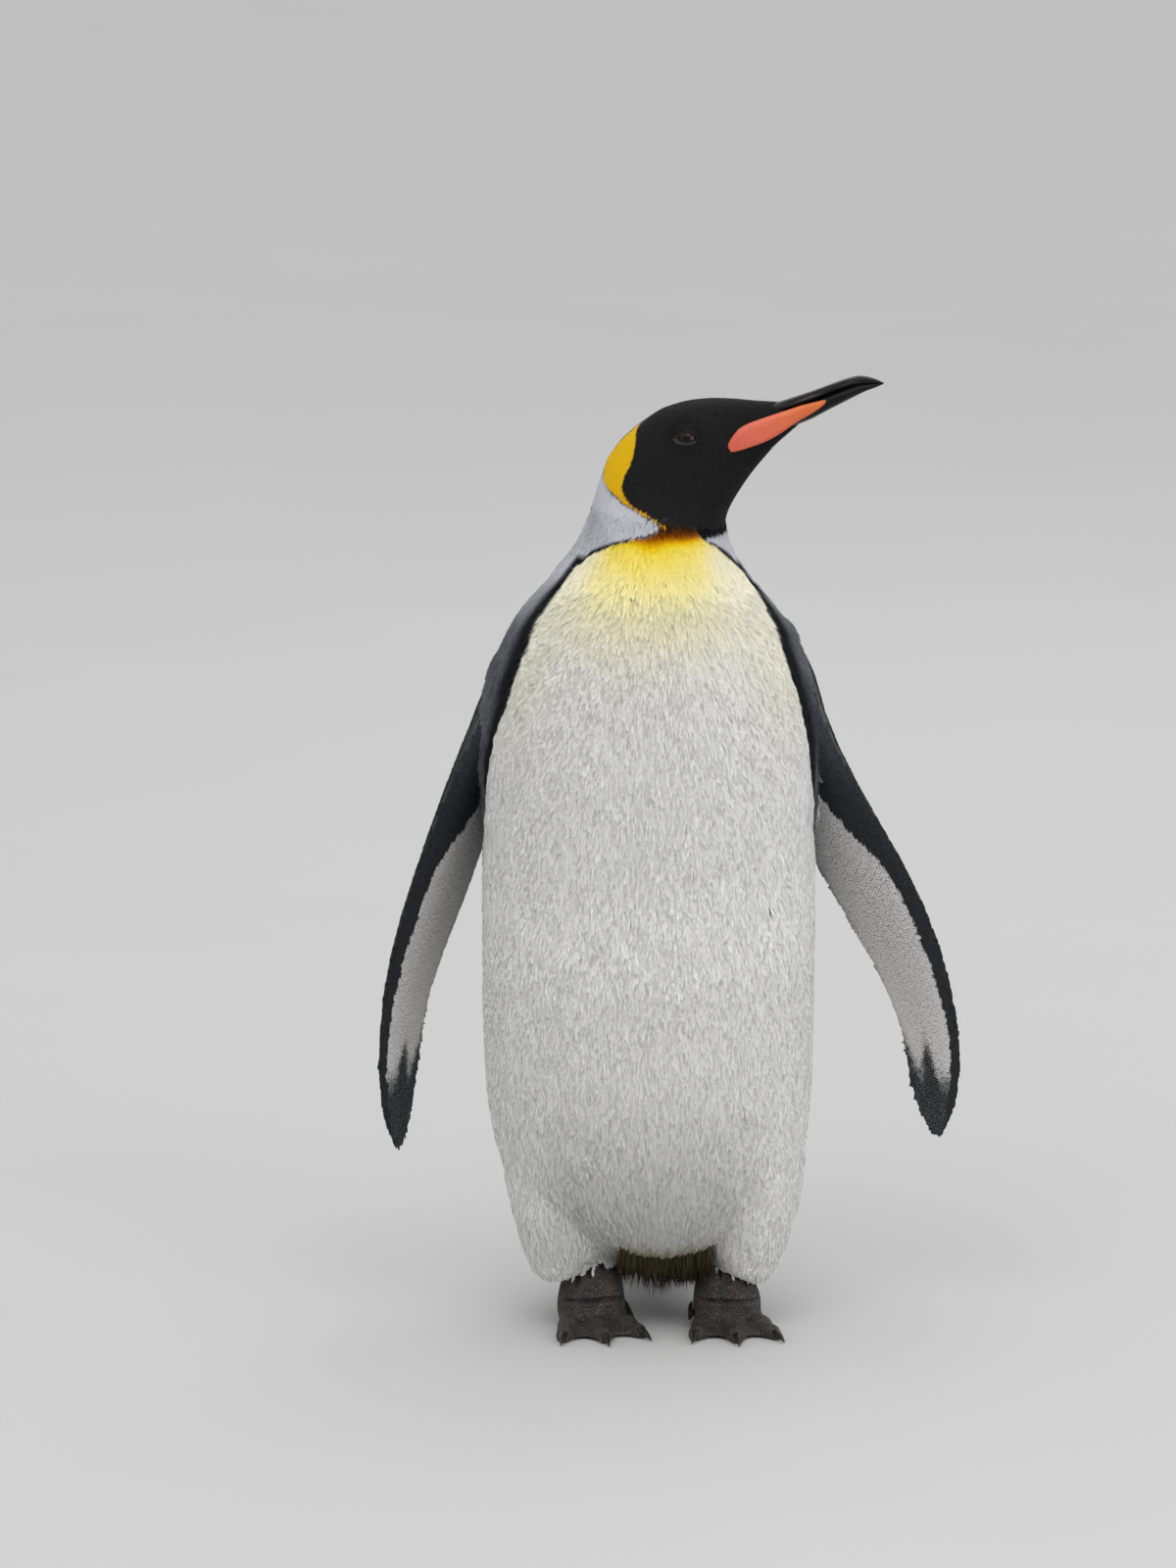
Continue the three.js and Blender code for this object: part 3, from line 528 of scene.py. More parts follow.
# ---- Finishes ----
class NodeGraph:
    """Adds nodes to a tree; each input is a value or the socket that feeds it."""

    def __init__(self, tree: bpy.types.NodeTree) -> None:
        """Keeps the tree."""
        self.tree = tree

    def feed(self, socket: bpy.types.NodeSocket, value: object) -> None:
        """Links or sets one input socket."""
        if isinstance(value, bpy.types.NodeSocket):
            self.tree.links.new(value, socket)
        else:
            socket.default_value = value

    def node(self, kind: str, inputs: dict | None = None, **settings: object) -> bpy.types.Node:
        """Adds a node; its inputs are given by name, for the live one of that name, or by number."""
        node = self.tree.nodes.new(kind)
        for key, value in settings.items():
            setattr(node, key, value)
        for key, value in (inputs or {}).items():
            live = [socket for socket in node.inputs if socket.enabled and socket.name == key]
            self.feed(live[0] if live else node.inputs[key], value)
        return node

    def out(self, kind: str, inputs: dict | None = None, **settings: object) -> bpy.types.NodeSocket:
        """Adds a node and gives its first live output."""
        return next(socket for socket in self.node(kind, inputs, **settings).outputs if socket.enabled)

    def maths(self, operation: str, a: object, b: object = 0.0) -> bpy.types.NodeSocket:
        """One arithmetic step."""
        return self.out("ShaderNodeMath", {0: a, 1: b}, operation=operation)

    def vector_maths(self, operation: str, inputs: dict) -> bpy.types.NodeSocket:
        """One step of arithmetic on vectors or colours."""
        return self.out("ShaderNodeVectorMath", inputs, operation=operation)

    def split(self, vector: bpy.types.NodeSocket) -> bpy.types.NodeOutputs:
        """The X, Y and Z of a vector."""
        return self.node("ShaderNodeSeparateXYZ", {"Vector": vector}).outputs


class Shader(NodeGraph):
    """Builds one procedural material from linked nodes."""

    def __init__(self, name: str) -> None:
        """Starts a material with a Principled surface."""
        self.material = bpy.data.materials.new(name)
        self.material.use_nodes = True
        super().__init__(self.material.node_tree)
        self.surface = self.tree.nodes["Principled BSDF"]

    def attribute(self, name: str) -> bpy.types.Node:
        """Reads a vertex attribute."""
        return self.node("ShaderNodeAttribute", attribute_name=name)

    def vane(self) -> bpy.types.NodeOutputs:
        """The place on one feather or piece: X across, Y along, and Z, which each piece uses in its own way."""
        return self.split(self.attribute("vane").outputs["Vector"])

    def place(self) -> bpy.types.NodeSocket:
        """The point's place in the piece's own space."""
        return self.node("ShaderNodeTexCoord").outputs["Object"]

    def noise(
        self, size: float, detail: float = 3.0, vector: bpy.types.NodeSocket | None = None
    ) -> bpy.types.NodeSocket:
        """Noise with features about `size` metres across."""
        inputs = {"Vector": vector or self.place(), "Scale": 1.0 / size, "Detail": detail}
        return self.node("ShaderNodeTexNoise", inputs).outputs["Fac"]

    def ramp(self, value: bpy.types.NodeSocket, *ends: float) -> bpy.types.NodeSocket:
        """Maps a range onto another, clamped; the ends are from low, from high, to low and to high."""
        inputs = dict(zip(("From Min", "From Max", "To Min", "To Max"), ends))
        return self.node("ShaderNodeMapRange", {"Value": value, **inputs}).outputs["Result"]

    def times(self, colour: object, value: bpy.types.NodeSocket) -> bpy.types.NodeSocket:
        """A colour made darker or lighter by a number."""
        return self.vector_maths("MULTIPLY", {0: colour, 1: value})

    def blend(self, share: object, a: object, b: object) -> bpy.types.NodeSocket:
        """Mixes two colours."""
        return self.node("ShaderNodeMix", {"Factor": share, 6: a, 7: b}, data_type="RGBA").outputs[2]

    def bump(self, height: bpy.types.NodeSocket, depth: float, strength: float = 1.0) -> None:
        """Adds relief of `depth` metres to the surface."""
        node = self.node("ShaderNodeBump", {"Height": height, "Distance": depth, "Strength": strength})
        self.feed(self.surface.inputs["Normal"], node.outputs["Normal"])

    def finish(self, colour: object, **sockets: object) -> bpy.types.Material:
        """Sets the colour and the surface's other sockets."""
        self.feed(self.surface.inputs["Base Color"], colour)
        for key, value in sockets.items():
            self.feed(self.surface.inputs[key.replace("_", " ")], value)
        return self.material


def swatch(*display: float) -> tuple:
    """A node's colour value from display values of 0 to 255."""
    return (*linear(*display), 1.0)


@dataclass(frozen=True)
class PlumageFinish:
    """Vanes coloured by their markings, darker at the root, with fine barbs."""

    name: str
    root: float = 1.0
    tip: float = 1.0
    roughness: float = 0.75
    barbs: float = 46.0
    gloss: float = 0.1
    glow: float = 0.0  # share of the light that scatters under the surface
    scatter: float = 2.0 * MM

    def material(self) -> bpy.types.Material:
        """Builds the material."""
        shader = Shader(self.name)
        across, length, _ = shader.vane()
        gain = shader.ramp(length, 0.35, 1.0, self.root, self.tip)
        colour = shader.times(shader.attribute("tint").outputs["Color"], gain)
        slant = shader.maths("SUBTRACT", shader.maths("ABSOLUTE", across), length)
        barbs = shader.maths("SINE", shader.maths("MULTIPLY", slant, self.barbs))
        shader.bump(barbs, 0.05 * MM, 0.5)
        return shader.finish(
            colour, Roughness=self.roughness, Specular_IOR_Level=self.gloss, Subsurface_Weight=self.glow,
            Subsurface_Radius=(1.0, 1.0, 1.0), Subsurface_Scale=self.scatter)


@dataclass(frozen=True)
class SkinFinish:
    """Skin under the coat and on the bare feet: marked as the coat is, with small scales on the feet."""

    name: str = "skin"
    scale: float = 3.4 * MM

    def material(self) -> bpy.types.Material:
        """Builds the material."""
        shader = Shader(self.name)
        inputs = {"Vector": shader.place(), "Scale": 1.0 / self.scale}
        cells = shader.node("ShaderNodeTexVoronoi", inputs, feature="DISTANCE_TO_EDGE")
        crease = shader.ramp(cells.outputs["Distance"], 0.0, 0.16, 0.0, 1.0)
        bare = shader.attribute("bare").outputs["Fac"]
        dust = shader.ramp(shader.noise(14.0 * MM, 5.0), 0.42, 0.75, 0.0, 0.5)
        tint = shader.attribute("tint").outputs["Color"]
        dusty = shader.blend(shader.maths("MULTIPLY", dust, bare), tint, swatch(104, 88, 76))
        overlay = shader.times(dusty, shader.ramp(crease, 0.0, 1.0, 0.55, 1.1))
        colour = shader.blend(bare, tint, overlay)
        shader.bump(shader.maths("MULTIPLY", crease, bare), 0.5 * MM)
        return shader.finish(colour, Roughness=shader.ramp(bare, 0.0, 1.0, 0.9, 0.55))


@dataclass(frozen=True)
class HornFinish:
    """Dark horn with lengthwise grey scuffs where the sheath is rubbed; on the beak these are partly painted
    highlights along the ridge and the band under the groove.
    """

    name: str
    dark: tuple = (9, 9, 10)
    scuff_and_highlight: tuple = (150, 147, 144)
    wear_and_highlight: float = 0.7

    def material(self) -> bpy.types.Material:
        """Builds the material."""
        shader = Shader(self.name)
        turn, length, ridges = shader.vane()
        run = shader.out("ShaderNodeCombineXYZ", {"X": turn, "Y": shader.maths("MULTIPLY", length, 0.12)})
        streak = shader.noise(0.05, 6.0, run)
        # the share of grey: real scuffs, and on the beak also painted highlights
        overlay = shader.maths("MULTIPLY", shader.ramp(streak, 0.53, 0.62, 0.0, 1.0), ridges)
        fine = shader.noise(0.6 * MM, 2.0)
        amount = shader.maths("MULTIPLY", overlay, self.wear_and_highlight)
        colour = shader.blend(amount, swatch(*self.dark), swatch(*self.scuff_and_highlight))
        shader.bump(shader.maths("ADD", streak, shader.maths("MULTIPLY", fine, 0.15)), 0.8 * MM, 0.9)
        rough = shader.ramp(overlay, 0.0, 1.0, 0.3, 0.6)
        return shader.finish(colour, Roughness=rough, Specular_IOR_Level=0.2)


@dataclass(frozen=True)
class PlateFinish:
    """The beak plate's waxy coral, turning orange towards the tip."""

    name: str = "beak_plate"

    def material(self) -> bpy.types.Material:
        """Builds the material."""
        shader = Shader(self.name)
        edge, length, _ = shader.vane()
        tone = shader.blend(shader.ramp(length, 0.2, 0.95, 0.0, 1.0), swatch(200, 88, 64), swatch(206, 104, 36))
        mottle = shader.ramp(shader.noise(2.5 * MM, 4.0), 0.3, 0.8, 0.9, 1.08)
        rim = shader.ramp(edge, 0.8, 1.0, 1.0, 0.72)
        shader.bump(shader.noise(1.2 * MM, 3.0), 0.12 * MM, 0.5)
        colour = shader.times(shader.times(tone, mottle), rim)
        return shader.finish(colour, Roughness=0.42, Subsurface_Weight=0.12, Subsurface_Scale=2.0 * MM)


@dataclass(frozen=True)
class EyeFinish:
    """Dark pupil and red-brown iris under a clear wet coat."""

    name: str = "eye"

    def material(self) -> bpy.types.Material:
        """Builds the material."""
        shader = Shader(self.name)
        _, ring, _ = shader.vane()
        rays = shader.noise(0.08, 4.0, shader.attribute("vane").outputs["Vector"])
        iris = shader.blend(rays, swatch(26, 15, 12), swatch(58, 34, 25))
        outer = shader.blend(shader.ramp(ring, 0.36, 0.44, 0.0, 1.0), iris, swatch(22, 14, 12))
        colour = shader.blend(shader.ramp(ring, 0.085, 0.10, 1.0, 0.0), outer, swatch(6, 5, 6))
        return shader.finish(
            colour, Roughness=0.12, Coat_Weight=0.12, Coat_Roughness=0.03, Specular_IOR_Level=0.15)


# ---- Skin ----
class Skin:
    """One skin over all the flesh, inside the construction by the coat's depth."""

    FLESH = ("head", "neck", "breast", "mantle", "belly", "rump", "tail")
    FEET = ("shank", "toe_inner", "toe_middle", "toe_outer", "web_inner", "web_outer")
    ROUNDS = {
        "head": 20, "neck": 60, "tail": 12, "flipper": 3, "thigh": 20, "belly": 36,
        "shank": 8, "toe": 4, "web": 4,
    }
    DEPTH = {"head": 1.2, "neck": 2.6, "tail": 4.0, "flipper": 0.9, "shank": 0.4, "toe": 0.4, "web": 0.4}
    WIDTH = {"head": 1.6, "neck": 2.5, "thigh": 2.9, "tail": 3.6}
    LENGTH = {"head": 4.2, "neck": 8.0, "thigh": 14.0, "tail": 20.0}
    BROADER = {"right": (6.0, 7.5), "left": (3.6, 8.5)}  # a flipper tip's added width at its two edges, in mm
    SPREAD = ((250, 0.1), (330, 0.2), (420, 0.32), (520, 0.55), (600, 0.85), (670, 1.0))  # outward lie
    SMOOTH = 80.0  # rounds of smoothing on the trunk
    GROOVE = 3.0 * MM  # depth of the folds where the thighs meet the belly
    ANKLE = 25.0  # height of the fold across each ankle, in mm

    def __init__(self, marks: Landmarks, voxel: float = 2.2 * MM, trunk_depth: float = 3.8) -> None:
        """Builds the closed surface and its vertex data.

        Args:
            marks: the bird's landmarks.
            voxel: grain of the joined surface.
            trunk_depth: the coat's depth on the trunk, in millimetres.
        """
        self.marks = marks
        self.trunk_depth = trunk_depth
        self.lids = [
            Eyelid(marks.eye[side], marks.eye_radius, marks.forward, marks.right * sign)
            for side, sign in SIDES.items()
        ]
        limbs = ("flipper", "thigh", *self.FEET)
        self.nodes = [*self.FLESH, *(f"{limb}_{side}" for limb in limbs for side in SIDES)]
        self.solids, self.owner = self.gather()
        self.tree = BVHTree.FromPolygons(self.solids[0].tolist(), self.solids[1].tolist())
        self.piece = self.join(voxel)
        self.shape()
        self.detail()
        self.record()

    def gather(self) -> tuple[tuple[np.ndarray, np.ndarray], np.ndarray]:
        """All flesh solids as one set of points and triangles, and the node of each triangle."""
        points, faces, owner, start = [], [], [], 0
        for name in self.nodes:
            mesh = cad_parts[name].data
            here = triangles_of(mesh)
            points.append(points_of(mesh))
            faces.append(here + start)
            owner += [name] * len(here)
            start += len(mesh.vertices)
        return (np.concatenate(points), np.concatenate(faces)), np.array(owner)

    def join(self, voxel: float) -> bpy.types.Object:
        """Joins the solids, with the eye sockets filled, under one closed surface."""
        points, faces = self.solids
        ball = bmesh.new()
        bmesh.ops.create_icosphere(ball, subdivisions=4, radius=self.marks.eye_radius + 0.6 * MM)
        shape = np.array([vertex.co[:] for vertex in ball.verts])
        sides = np.array([[vertex.index for vertex in face.verts] for face in ball.faces])
        ball.free()
        for eye in self.marks.eye.values():
            faces = np.concatenate([faces, sides + len(points)])
            points = np.concatenate([points, shape + eye])
        piece = new_object("skin", mesh_from("skin", points, faces))
        remesh = piece.modifiers.new("join", "REMESH")
        remesh.mode = "VOXEL"
        remesh.voxel_size = voxel
        settled(piece)
        self.keep_outside(piece.data)
        return piece

    def keep_outside(self, mesh: bpy.types.Mesh) -> None:
        """Drops any closed pocket inside the largest surface."""
        grid = bmesh.new()
        grid.from_mesh(mesh)
        left = set(grid.verts)
        islands = []
        while left:
            island, front = set(), [left.pop()]
            while front:
                vertex = front.pop()
                island.add(vertex)
                for edge in vertex.link_edges:
                    other = edge.other_vert(vertex)
                    if other in left:
                        left.discard(other)
                        front.append(other)
            islands.append(island)
        islands.sort(key=len)
        for island in islands[:-1]:
            bmesh.ops.delete(grid, geom=list(island), context="VERTS")
        grid.to_mesh(mesh)
        grid.free()

    def name_at(self, points: np.ndarray) -> np.ndarray:
        """The construction node nearest to each point."""
        return self.owner[[self.tree.find_nearest(Vector(p))[2] for p in points]]

    def relax(self, values: np.ndarray, rounds: np.ndarray | int, share: float = 0.5) -> np.ndarray:
        """Evens out values over neighbouring vertices, each for its own number of rounds."""
        values = values.reshape(len(values), -1).astype(float)
        rounds = np.broadcast_to(rounds, len(values))
        a, b = self.edges.T
        count = np.bincount(self.edges.ravel(), minlength=len(values))[:, None]
        for step in range(int(rounds.max())):
            active = (share * np.clip(rounds - step, 0.0, 1.0))[:, None]
            total = np.stack([
                np.bincount(a, column[b], len(values)) + np.bincount(b, column[a], len(values))
                for column in values.T
            ], axis=1)
            values += active * (total / np.maximum(count, 1) - values)
        return values.squeeze()

    def cover(self, node: str) -> np.ndarray:
        """Each vertex's share of cover by a node's tract; in front the tracts mingle, so no line shows."""
        front = np.isin(self.labels, ("breast", "belly"))
        level = self.points[self.labels == "breast", 2].min() + 4.0 * MM
        upper = smoothstep(level - 60.0 * MM, level + 60.0 * MM, self.points[:, 2])
        upper = upper + 0.4 * upper * (1.0 - upper)
        lower = 1.0 - upper + 0.6 * upper * (1.0 - upper)
        around, height = self.marks.trunk_angles(self.points)
        ahead = smoothstep(100.0, 80.0, np.abs(around)) * np.isin(self.labels, ("breast", "neck"))
        throat = smoothstep(612.0, 652.0, height)
        neck = np.where(self.labels == "neck", 1.0 - (1.0 - throat) * ahead, throat * ahead)
        breast = front * upper * (1.0 - throat * ahead) + (self.labels == "neck") * (1.0 - throat) * ahead
        tail = (self.labels == "tail") * (self.points[:, 2] > 62.0 * MM) * 1.0
        shares = {"breast": breast, "belly": front * lower, "neck": neck, "tail": tail}
        return shares.get(node, (self.labels == node) * 1.0) * self.open

    def by_label(self, table: dict, other: float) -> np.ndarray:
        """A number for each vertex from its node's name."""
        values = np.full(len(self.labels), other)
        for start, value in table.items():
            values[np.char.startswith(self.labels, start)] = value
        return values

    def read(self, mesh: bpy.types.Mesh) -> None:
        """Reads the mesh's points, edges, normals and labels."""
        self.edges = fetch(mesh.edges, "vertices", 2, np.int32)
        self.points = points_of(mesh)
        self.normals = normals_of(mesh)
        self.labels = self.name_at(self.points)

    def put(self, points: np.ndarray) -> None:
        """Moves the skin's vertices."""
        move(self.piece.data, points)

    def shape(self) -> None:
        """Rounds off the joined facets, then sinks the surface by the coat's depth."""
        self.read(self.piece.data)
        rounds = self.by_label(self.ROUNDS, self.SMOOTH)
        rounds += (self.labels == "belly") * 44.0 * smoothstep(220.0, 300.0, self.points[:, 2] / MM)
        for side in SIDES:
            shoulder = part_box(f"flipper_{side}")[1][2] / MM - 70.0
            limb = self.labels == f"flipper_{side}"
            rounds[limb] += 60.0 * smoothstep(shoulder, shoulder + 50.0, self.points[limb, 2] / MM)
        thigh = np.char.startswith(self.labels, "thigh") * 1.0
        points = self.relax(self.points, self.relax(rounds, 12))
        self.put(points)
        normals = normals_of(self.piece.data)
        groove = np.exp(-((self.relax(thigh, 9) - 0.5) / 0.26) ** 2)
        groove *= smoothstep(165.0, 90.0, points[:, 2] / MM)
        points = points - normals * self.relax(groove * (normals[:, 1] < 0.3), 3)[:, None] * self.GROOVE
        self.put(points)
        for side in SIDES:
            limb = self.labels == f"flipper_{side}"
            tip = points[limb, 2].min()
            near = smoothstep(60.0 * MM, 5.0 * MM, points[limb, 2] - tip)
            points[limb, 2] -= near * (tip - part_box(f"flipper_{side}")[0][2] - 1.5 * MM)
            points[limb] = self.broaden(points[limb], side)
        stump = (self.labels == "tail") * smoothstep(34.0, 4.0, points[:, 2] / MM)
        points[:, 2] += 13.0 * MM * stump
        points[:, 0] += (self.marks.origin[0] - points[:, 0]) * 0.25 * stump
        points[:, 1] -= 5.0 * MM * stump
        depth = self.relax(self.by_label(self.DEPTH, self.trunk_depth), 40)
        sole = np.char.startswith(self.labels, "t") | np.char.startswith(self.labels, "shank")  # toes, tail too
        depth *= 1.0 - sole * smoothstep(0.0, -0.4, normals[:, 2]) * (points[:, 2] < 6.0 * MM)
        self.put(points - normals * depth[:, None] * MM)
        thin = self.piece.modifiers.new("thin", "DECIMATE")
        thin.ratio = 0.26
        settled(self.piece)

    def broaden(self, points: np.ndarray, side: str) -> np.ndarray:
        """Rounds out a flipper's tip, which the smoothing has drawn to a point."""
        flipper = FlipperMap(side, points)
        across = flipper.across(points)
        above = (points[:, 2] - points[:, 2].min()) / MM
        lead, trail = self.BROADER[side]
        reach = np.interp(above, (0.0, 4.0, 12.0, 25.0, 45.0, 75.0), (0.35, 0.75, 1.0, 1.0, 0.5, 0.0))
        shift = np.where(across < 0.5, lead * (1.0 - 2.0 * across), -trail * (2.0 * across - 1.0)) * reach
        return points + shift[:, None] * flipper.chord * MM

    def detail(self) -> None:
        """Adds the eyelids and the folds across the ankles."""
        mesh = self.piece.data
        eyes = [Vector(eye) for eye in self.marks.eye.values()]
        for reach in (20.0, 16.0, 13.0):
            refine(mesh, lambda p: any((p - eye).length < reach * MM for eye in eyes), 1)
        refine(mesh, lambda p: abs(p.z - 26.0 * MM) < 7.0 * MM and p.y < -38.0 * MM, 2)
        points = points_of(mesh)
        for lid in self.lids:
            points = lid.draw(points)
        height = points[:, 2] / MM - 1.2 * ripple(points, 50.0 * MM, 31)
        front = smoothstep(0.0, 0.6, -normals_of(mesh)[:, 1]) * smoothstep(-40.0, -50.0, points[:, 1] / MM)
        dent = 1.3 * np.exp(-((height - 29.0) / 2.4) ** 2) - 2.6 * np.exp(-((height - self.ANKLE) / 1.1) ** 2)
        dent += 0.8 * np.exp(-((height - 21.5) / 2.0) ** 2)
        points[:, 1] -= dent * front * MM
        self.put(points)

    def record(self) -> None:
        """Works out how the coat lies and how large its feathers are at each vertex."""
        self.read(self.piece.data)
        here = {side: self.labels == f"flipper_{side}" for side in SIDES}
        self.flippers = {side: FlipperMap(side, self.points[mask]) for side, mask in here.items()}
        lie = self.relax(self.flow(), 14)
        lie -= self.normals * (lie * self.normals).sum(1)[:, None]
        self.lie = unit(lie)
        fit = self.nearness()
        depth = self.relax(self.by_label(self.DEPTH, self.trunk_depth), 14)
        width = self.relax(self.by_label(self.WIDTH, 3.3), 40) * fit
        length = self.relax(self.by_label(self.LENGTH, 15.0), 40) * fit
        self.size = np.stack([width, length, depth * (0.45 + 0.55 * fit)], axis=1) * MM
        thigh = np.char.startswith(self.labels, "thigh")
        hem = thigh * smoothstep(78.0, 50.0, self.points[:, 2] / MM)
        self.size[:, 1] *= 1.0 - 0.35 * hem
        self.cling = 1.0 - (hem > 0.5)
        slits = [smoothstep(-0.16, -0.10, lid.opening(self.points)[0]) for lid in self.lids]
        self.open = 1.0 - np.max(slits, axis=0)

    def nearness(self) -> np.ndarray:
        """Smaller feathers near the beak and round the eyes."""
        base = self.marks.head_place(100.0, 0.0, 768.0)
        fit = 0.6 + 0.4 * smoothstep(0.012, 0.06, np.linalg.norm(self.points - base, axis=1))
        for eye in self.marks.eye.values():
            fit *= 0.45 + 0.55 * smoothstep(0.010, 0.022, np.linalg.norm(self.points - eye, axis=1))
        return fit

    def flow(self) -> np.ndarray:
        """Which way the feathers point at each vertex."""
        marks, points = self.marks, self.points
        offset = points - marks.origin
        around, height = marks.trunk_angles(points)
        side = np.sign(offset[:, 0]) * smoothstep(5.0, 60.0, np.abs(around))
        side *= smoothstep(150.0, 100.0, np.abs(around))
        lie = np.zeros_like(points)
        lie[:, 2] = -1.0
        lie[:, 0] += side * np.interp(height, *zip(*self.SPREAD))
        lie[:, 1] += 0.22 * smoothstep(20.0, 90.0, np.abs(around))
        lie[:, 1] += 0.5 * smoothstep(110.0, 50.0, height)
        lie[self.labels == "head"] = -0.85 * marks.forward - 0.5 * UP
        for name, flipper in self.flippers.items():
            here = self.labels == f"flipper_{name}"
            up = points[here, 2]
            run = flipper.at(flipper.middle, up - 8.0 * MM) - flipper.at(flipper.middle, up + 8.0 * MM)
            lie[here] = np.concatenate([run, np.full((here.sum(), 1), -16.0 * MM)], axis=1) / (16.0 * MM)
            lie[here] -= flipper.chord * 0.14
            thigh = self.labels == f"thigh_{name}"
            low_box, high_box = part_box(f"thigh_{name}")
            centre = (np.array(low_box) + np.array(high_box)) / 2.0
            fan = (points[thigh] - centre) / 0.06
            inward = fan[:, 0] * (centre[0] - marks.origin[0]) < 0
            fan[inward, 0] *= 0.25
            lie[thigh] = np.stack([0.55 * fan[:, 0], 0.25 * fan[:, 1], np.full(thigh.sum(), -1.0)], axis=1)
        lie[self.labels == "tail"] = np.array([0.0, 0.53, -0.85])
        return lie

    def dress(self, markings: Markings) -> bpy.types.Object:
        """Colours the skin and hands it over in place of every flesh node."""
        mesh = self.piece.data
        colours = markings.colours(self.points, self.normals, self.labels, self.flippers)
        bare = self.relax(self.by_label(dict.fromkeys(FOOT_PARTS, 1.0), 0.0), 2)
        # painted shade: the skin under the coat is a little darker than the feathers over it
        colours *= (0.92 + 0.08 * bare)[:, None]
        # painted shade in the fold across each ankle
        crease = np.exp(-((self.points[:, 2] / MM - self.ANKLE) / 2.0) ** 2) * bare
        colours *= 1.0 - 0.7 * crease[:, None]
        for lid in self.lids:
            inside, high = lid.opening(self.points)
            rim = smoothstep(-0.15, -0.10, inside) * smoothstep(0.02, -0.03, inside)
            colours = mix(colours, Hue.LID, rim * np.where(high < 0, 0.85, 0.15))
            # painted shade: the skin sunk under the eyeball inside the slit is near black
            colours = mix(colours, Hue.HOOD * 0.4, smoothstep(-0.02, 0.03, inside))
        give_colour(mesh, colours)
        give(mesh, "bare", bare)
        mesh.materials.clear()
        mesh.materials.append(SkinFinish().material())
        return set_out(self.piece, "foot_skin", *self.nodes)


# ---- Coat ----
class Vane(Enum):
    """The outline of one feather, as (length, half width) from root to tip, and its camber."""

    SOFT = (((0.0, 0.34), (0.3, 0.47), (0.8, 0.34)), 0.05)
    SMALL = (((0.0, 0.38), (0.35, 0.48), (0.8, 0.36)), 0.08)
    SCALE = (((0.0, 0.4), (0.55, 0.5), (0.88, 0.36)), 0.25)
    HAIR = (((0.0, 0.5), (0.4, 0.45), (0.8, 0.3)), 0.2)

    def mesh(self) -> bpy.types.Mesh:
        """One feather, 1 long and 1 wide, rising from its root to lie level at the tip."""
        outline, camber = self.value
        points, vane = [], []
        for length, half in outline:
            rise = 1.0 - (1.0 - length) ** 4.0
            for across in (-1.0, 0.0, 1.0):
                height = rise - camber * across**2
                points.append((across * half, length, height))
                vane.append((across, length, height))
        points.append((0.0, 1.0, 1.0))
        vane.append((0.0, 1.0, 1.0))
        tip = len(outline) * 3
        faces = []
        for start in range(0, tip - 3, 3):
            for a in (start, start + 1):
                faces += [(a, a + 1, a + 4), (a, a + 4, a + 3)]
        faces += [(tip - 3, tip - 2, tip), (tip - 2, tip - 1, tip)]
        mesh = mesh_from(f"vane_{self.name.lower()}", np.array(points), np.array(faces))
        give(mesh, "vane", np.array(vane))
        return mesh


class Pebble:
    """One low six-sided scale of the feet."""

    def mesh(self) -> bpy.types.Mesh:
        """A dome 1 wide, 1 long and 1 high, with its root in the middle."""
        angles = np.radians(np.arange(6) * 60.0 + 30.0)
        rings = ((0.56, -0.4), (0.42, 0.72))
        points = [(math.cos(a) * reach, math.sin(a) * reach, z) for reach, z in rings for a in angles]
        points.append((0.0, 0.0, 1.0))
        faces = []
        for k in range(6):
            n = (k + 1) % 6
            faces += [(k, n, n + 6), (k, n + 6, k + 6), (k + 6, n + 6, 12)]
        mesh = mesh_from("pebble", np.array(points), np.array(faces))
        give(mesh, "vane", np.array([(x * 2.0, y + 0.5, z) for x, y, z in points]))
        return mesh


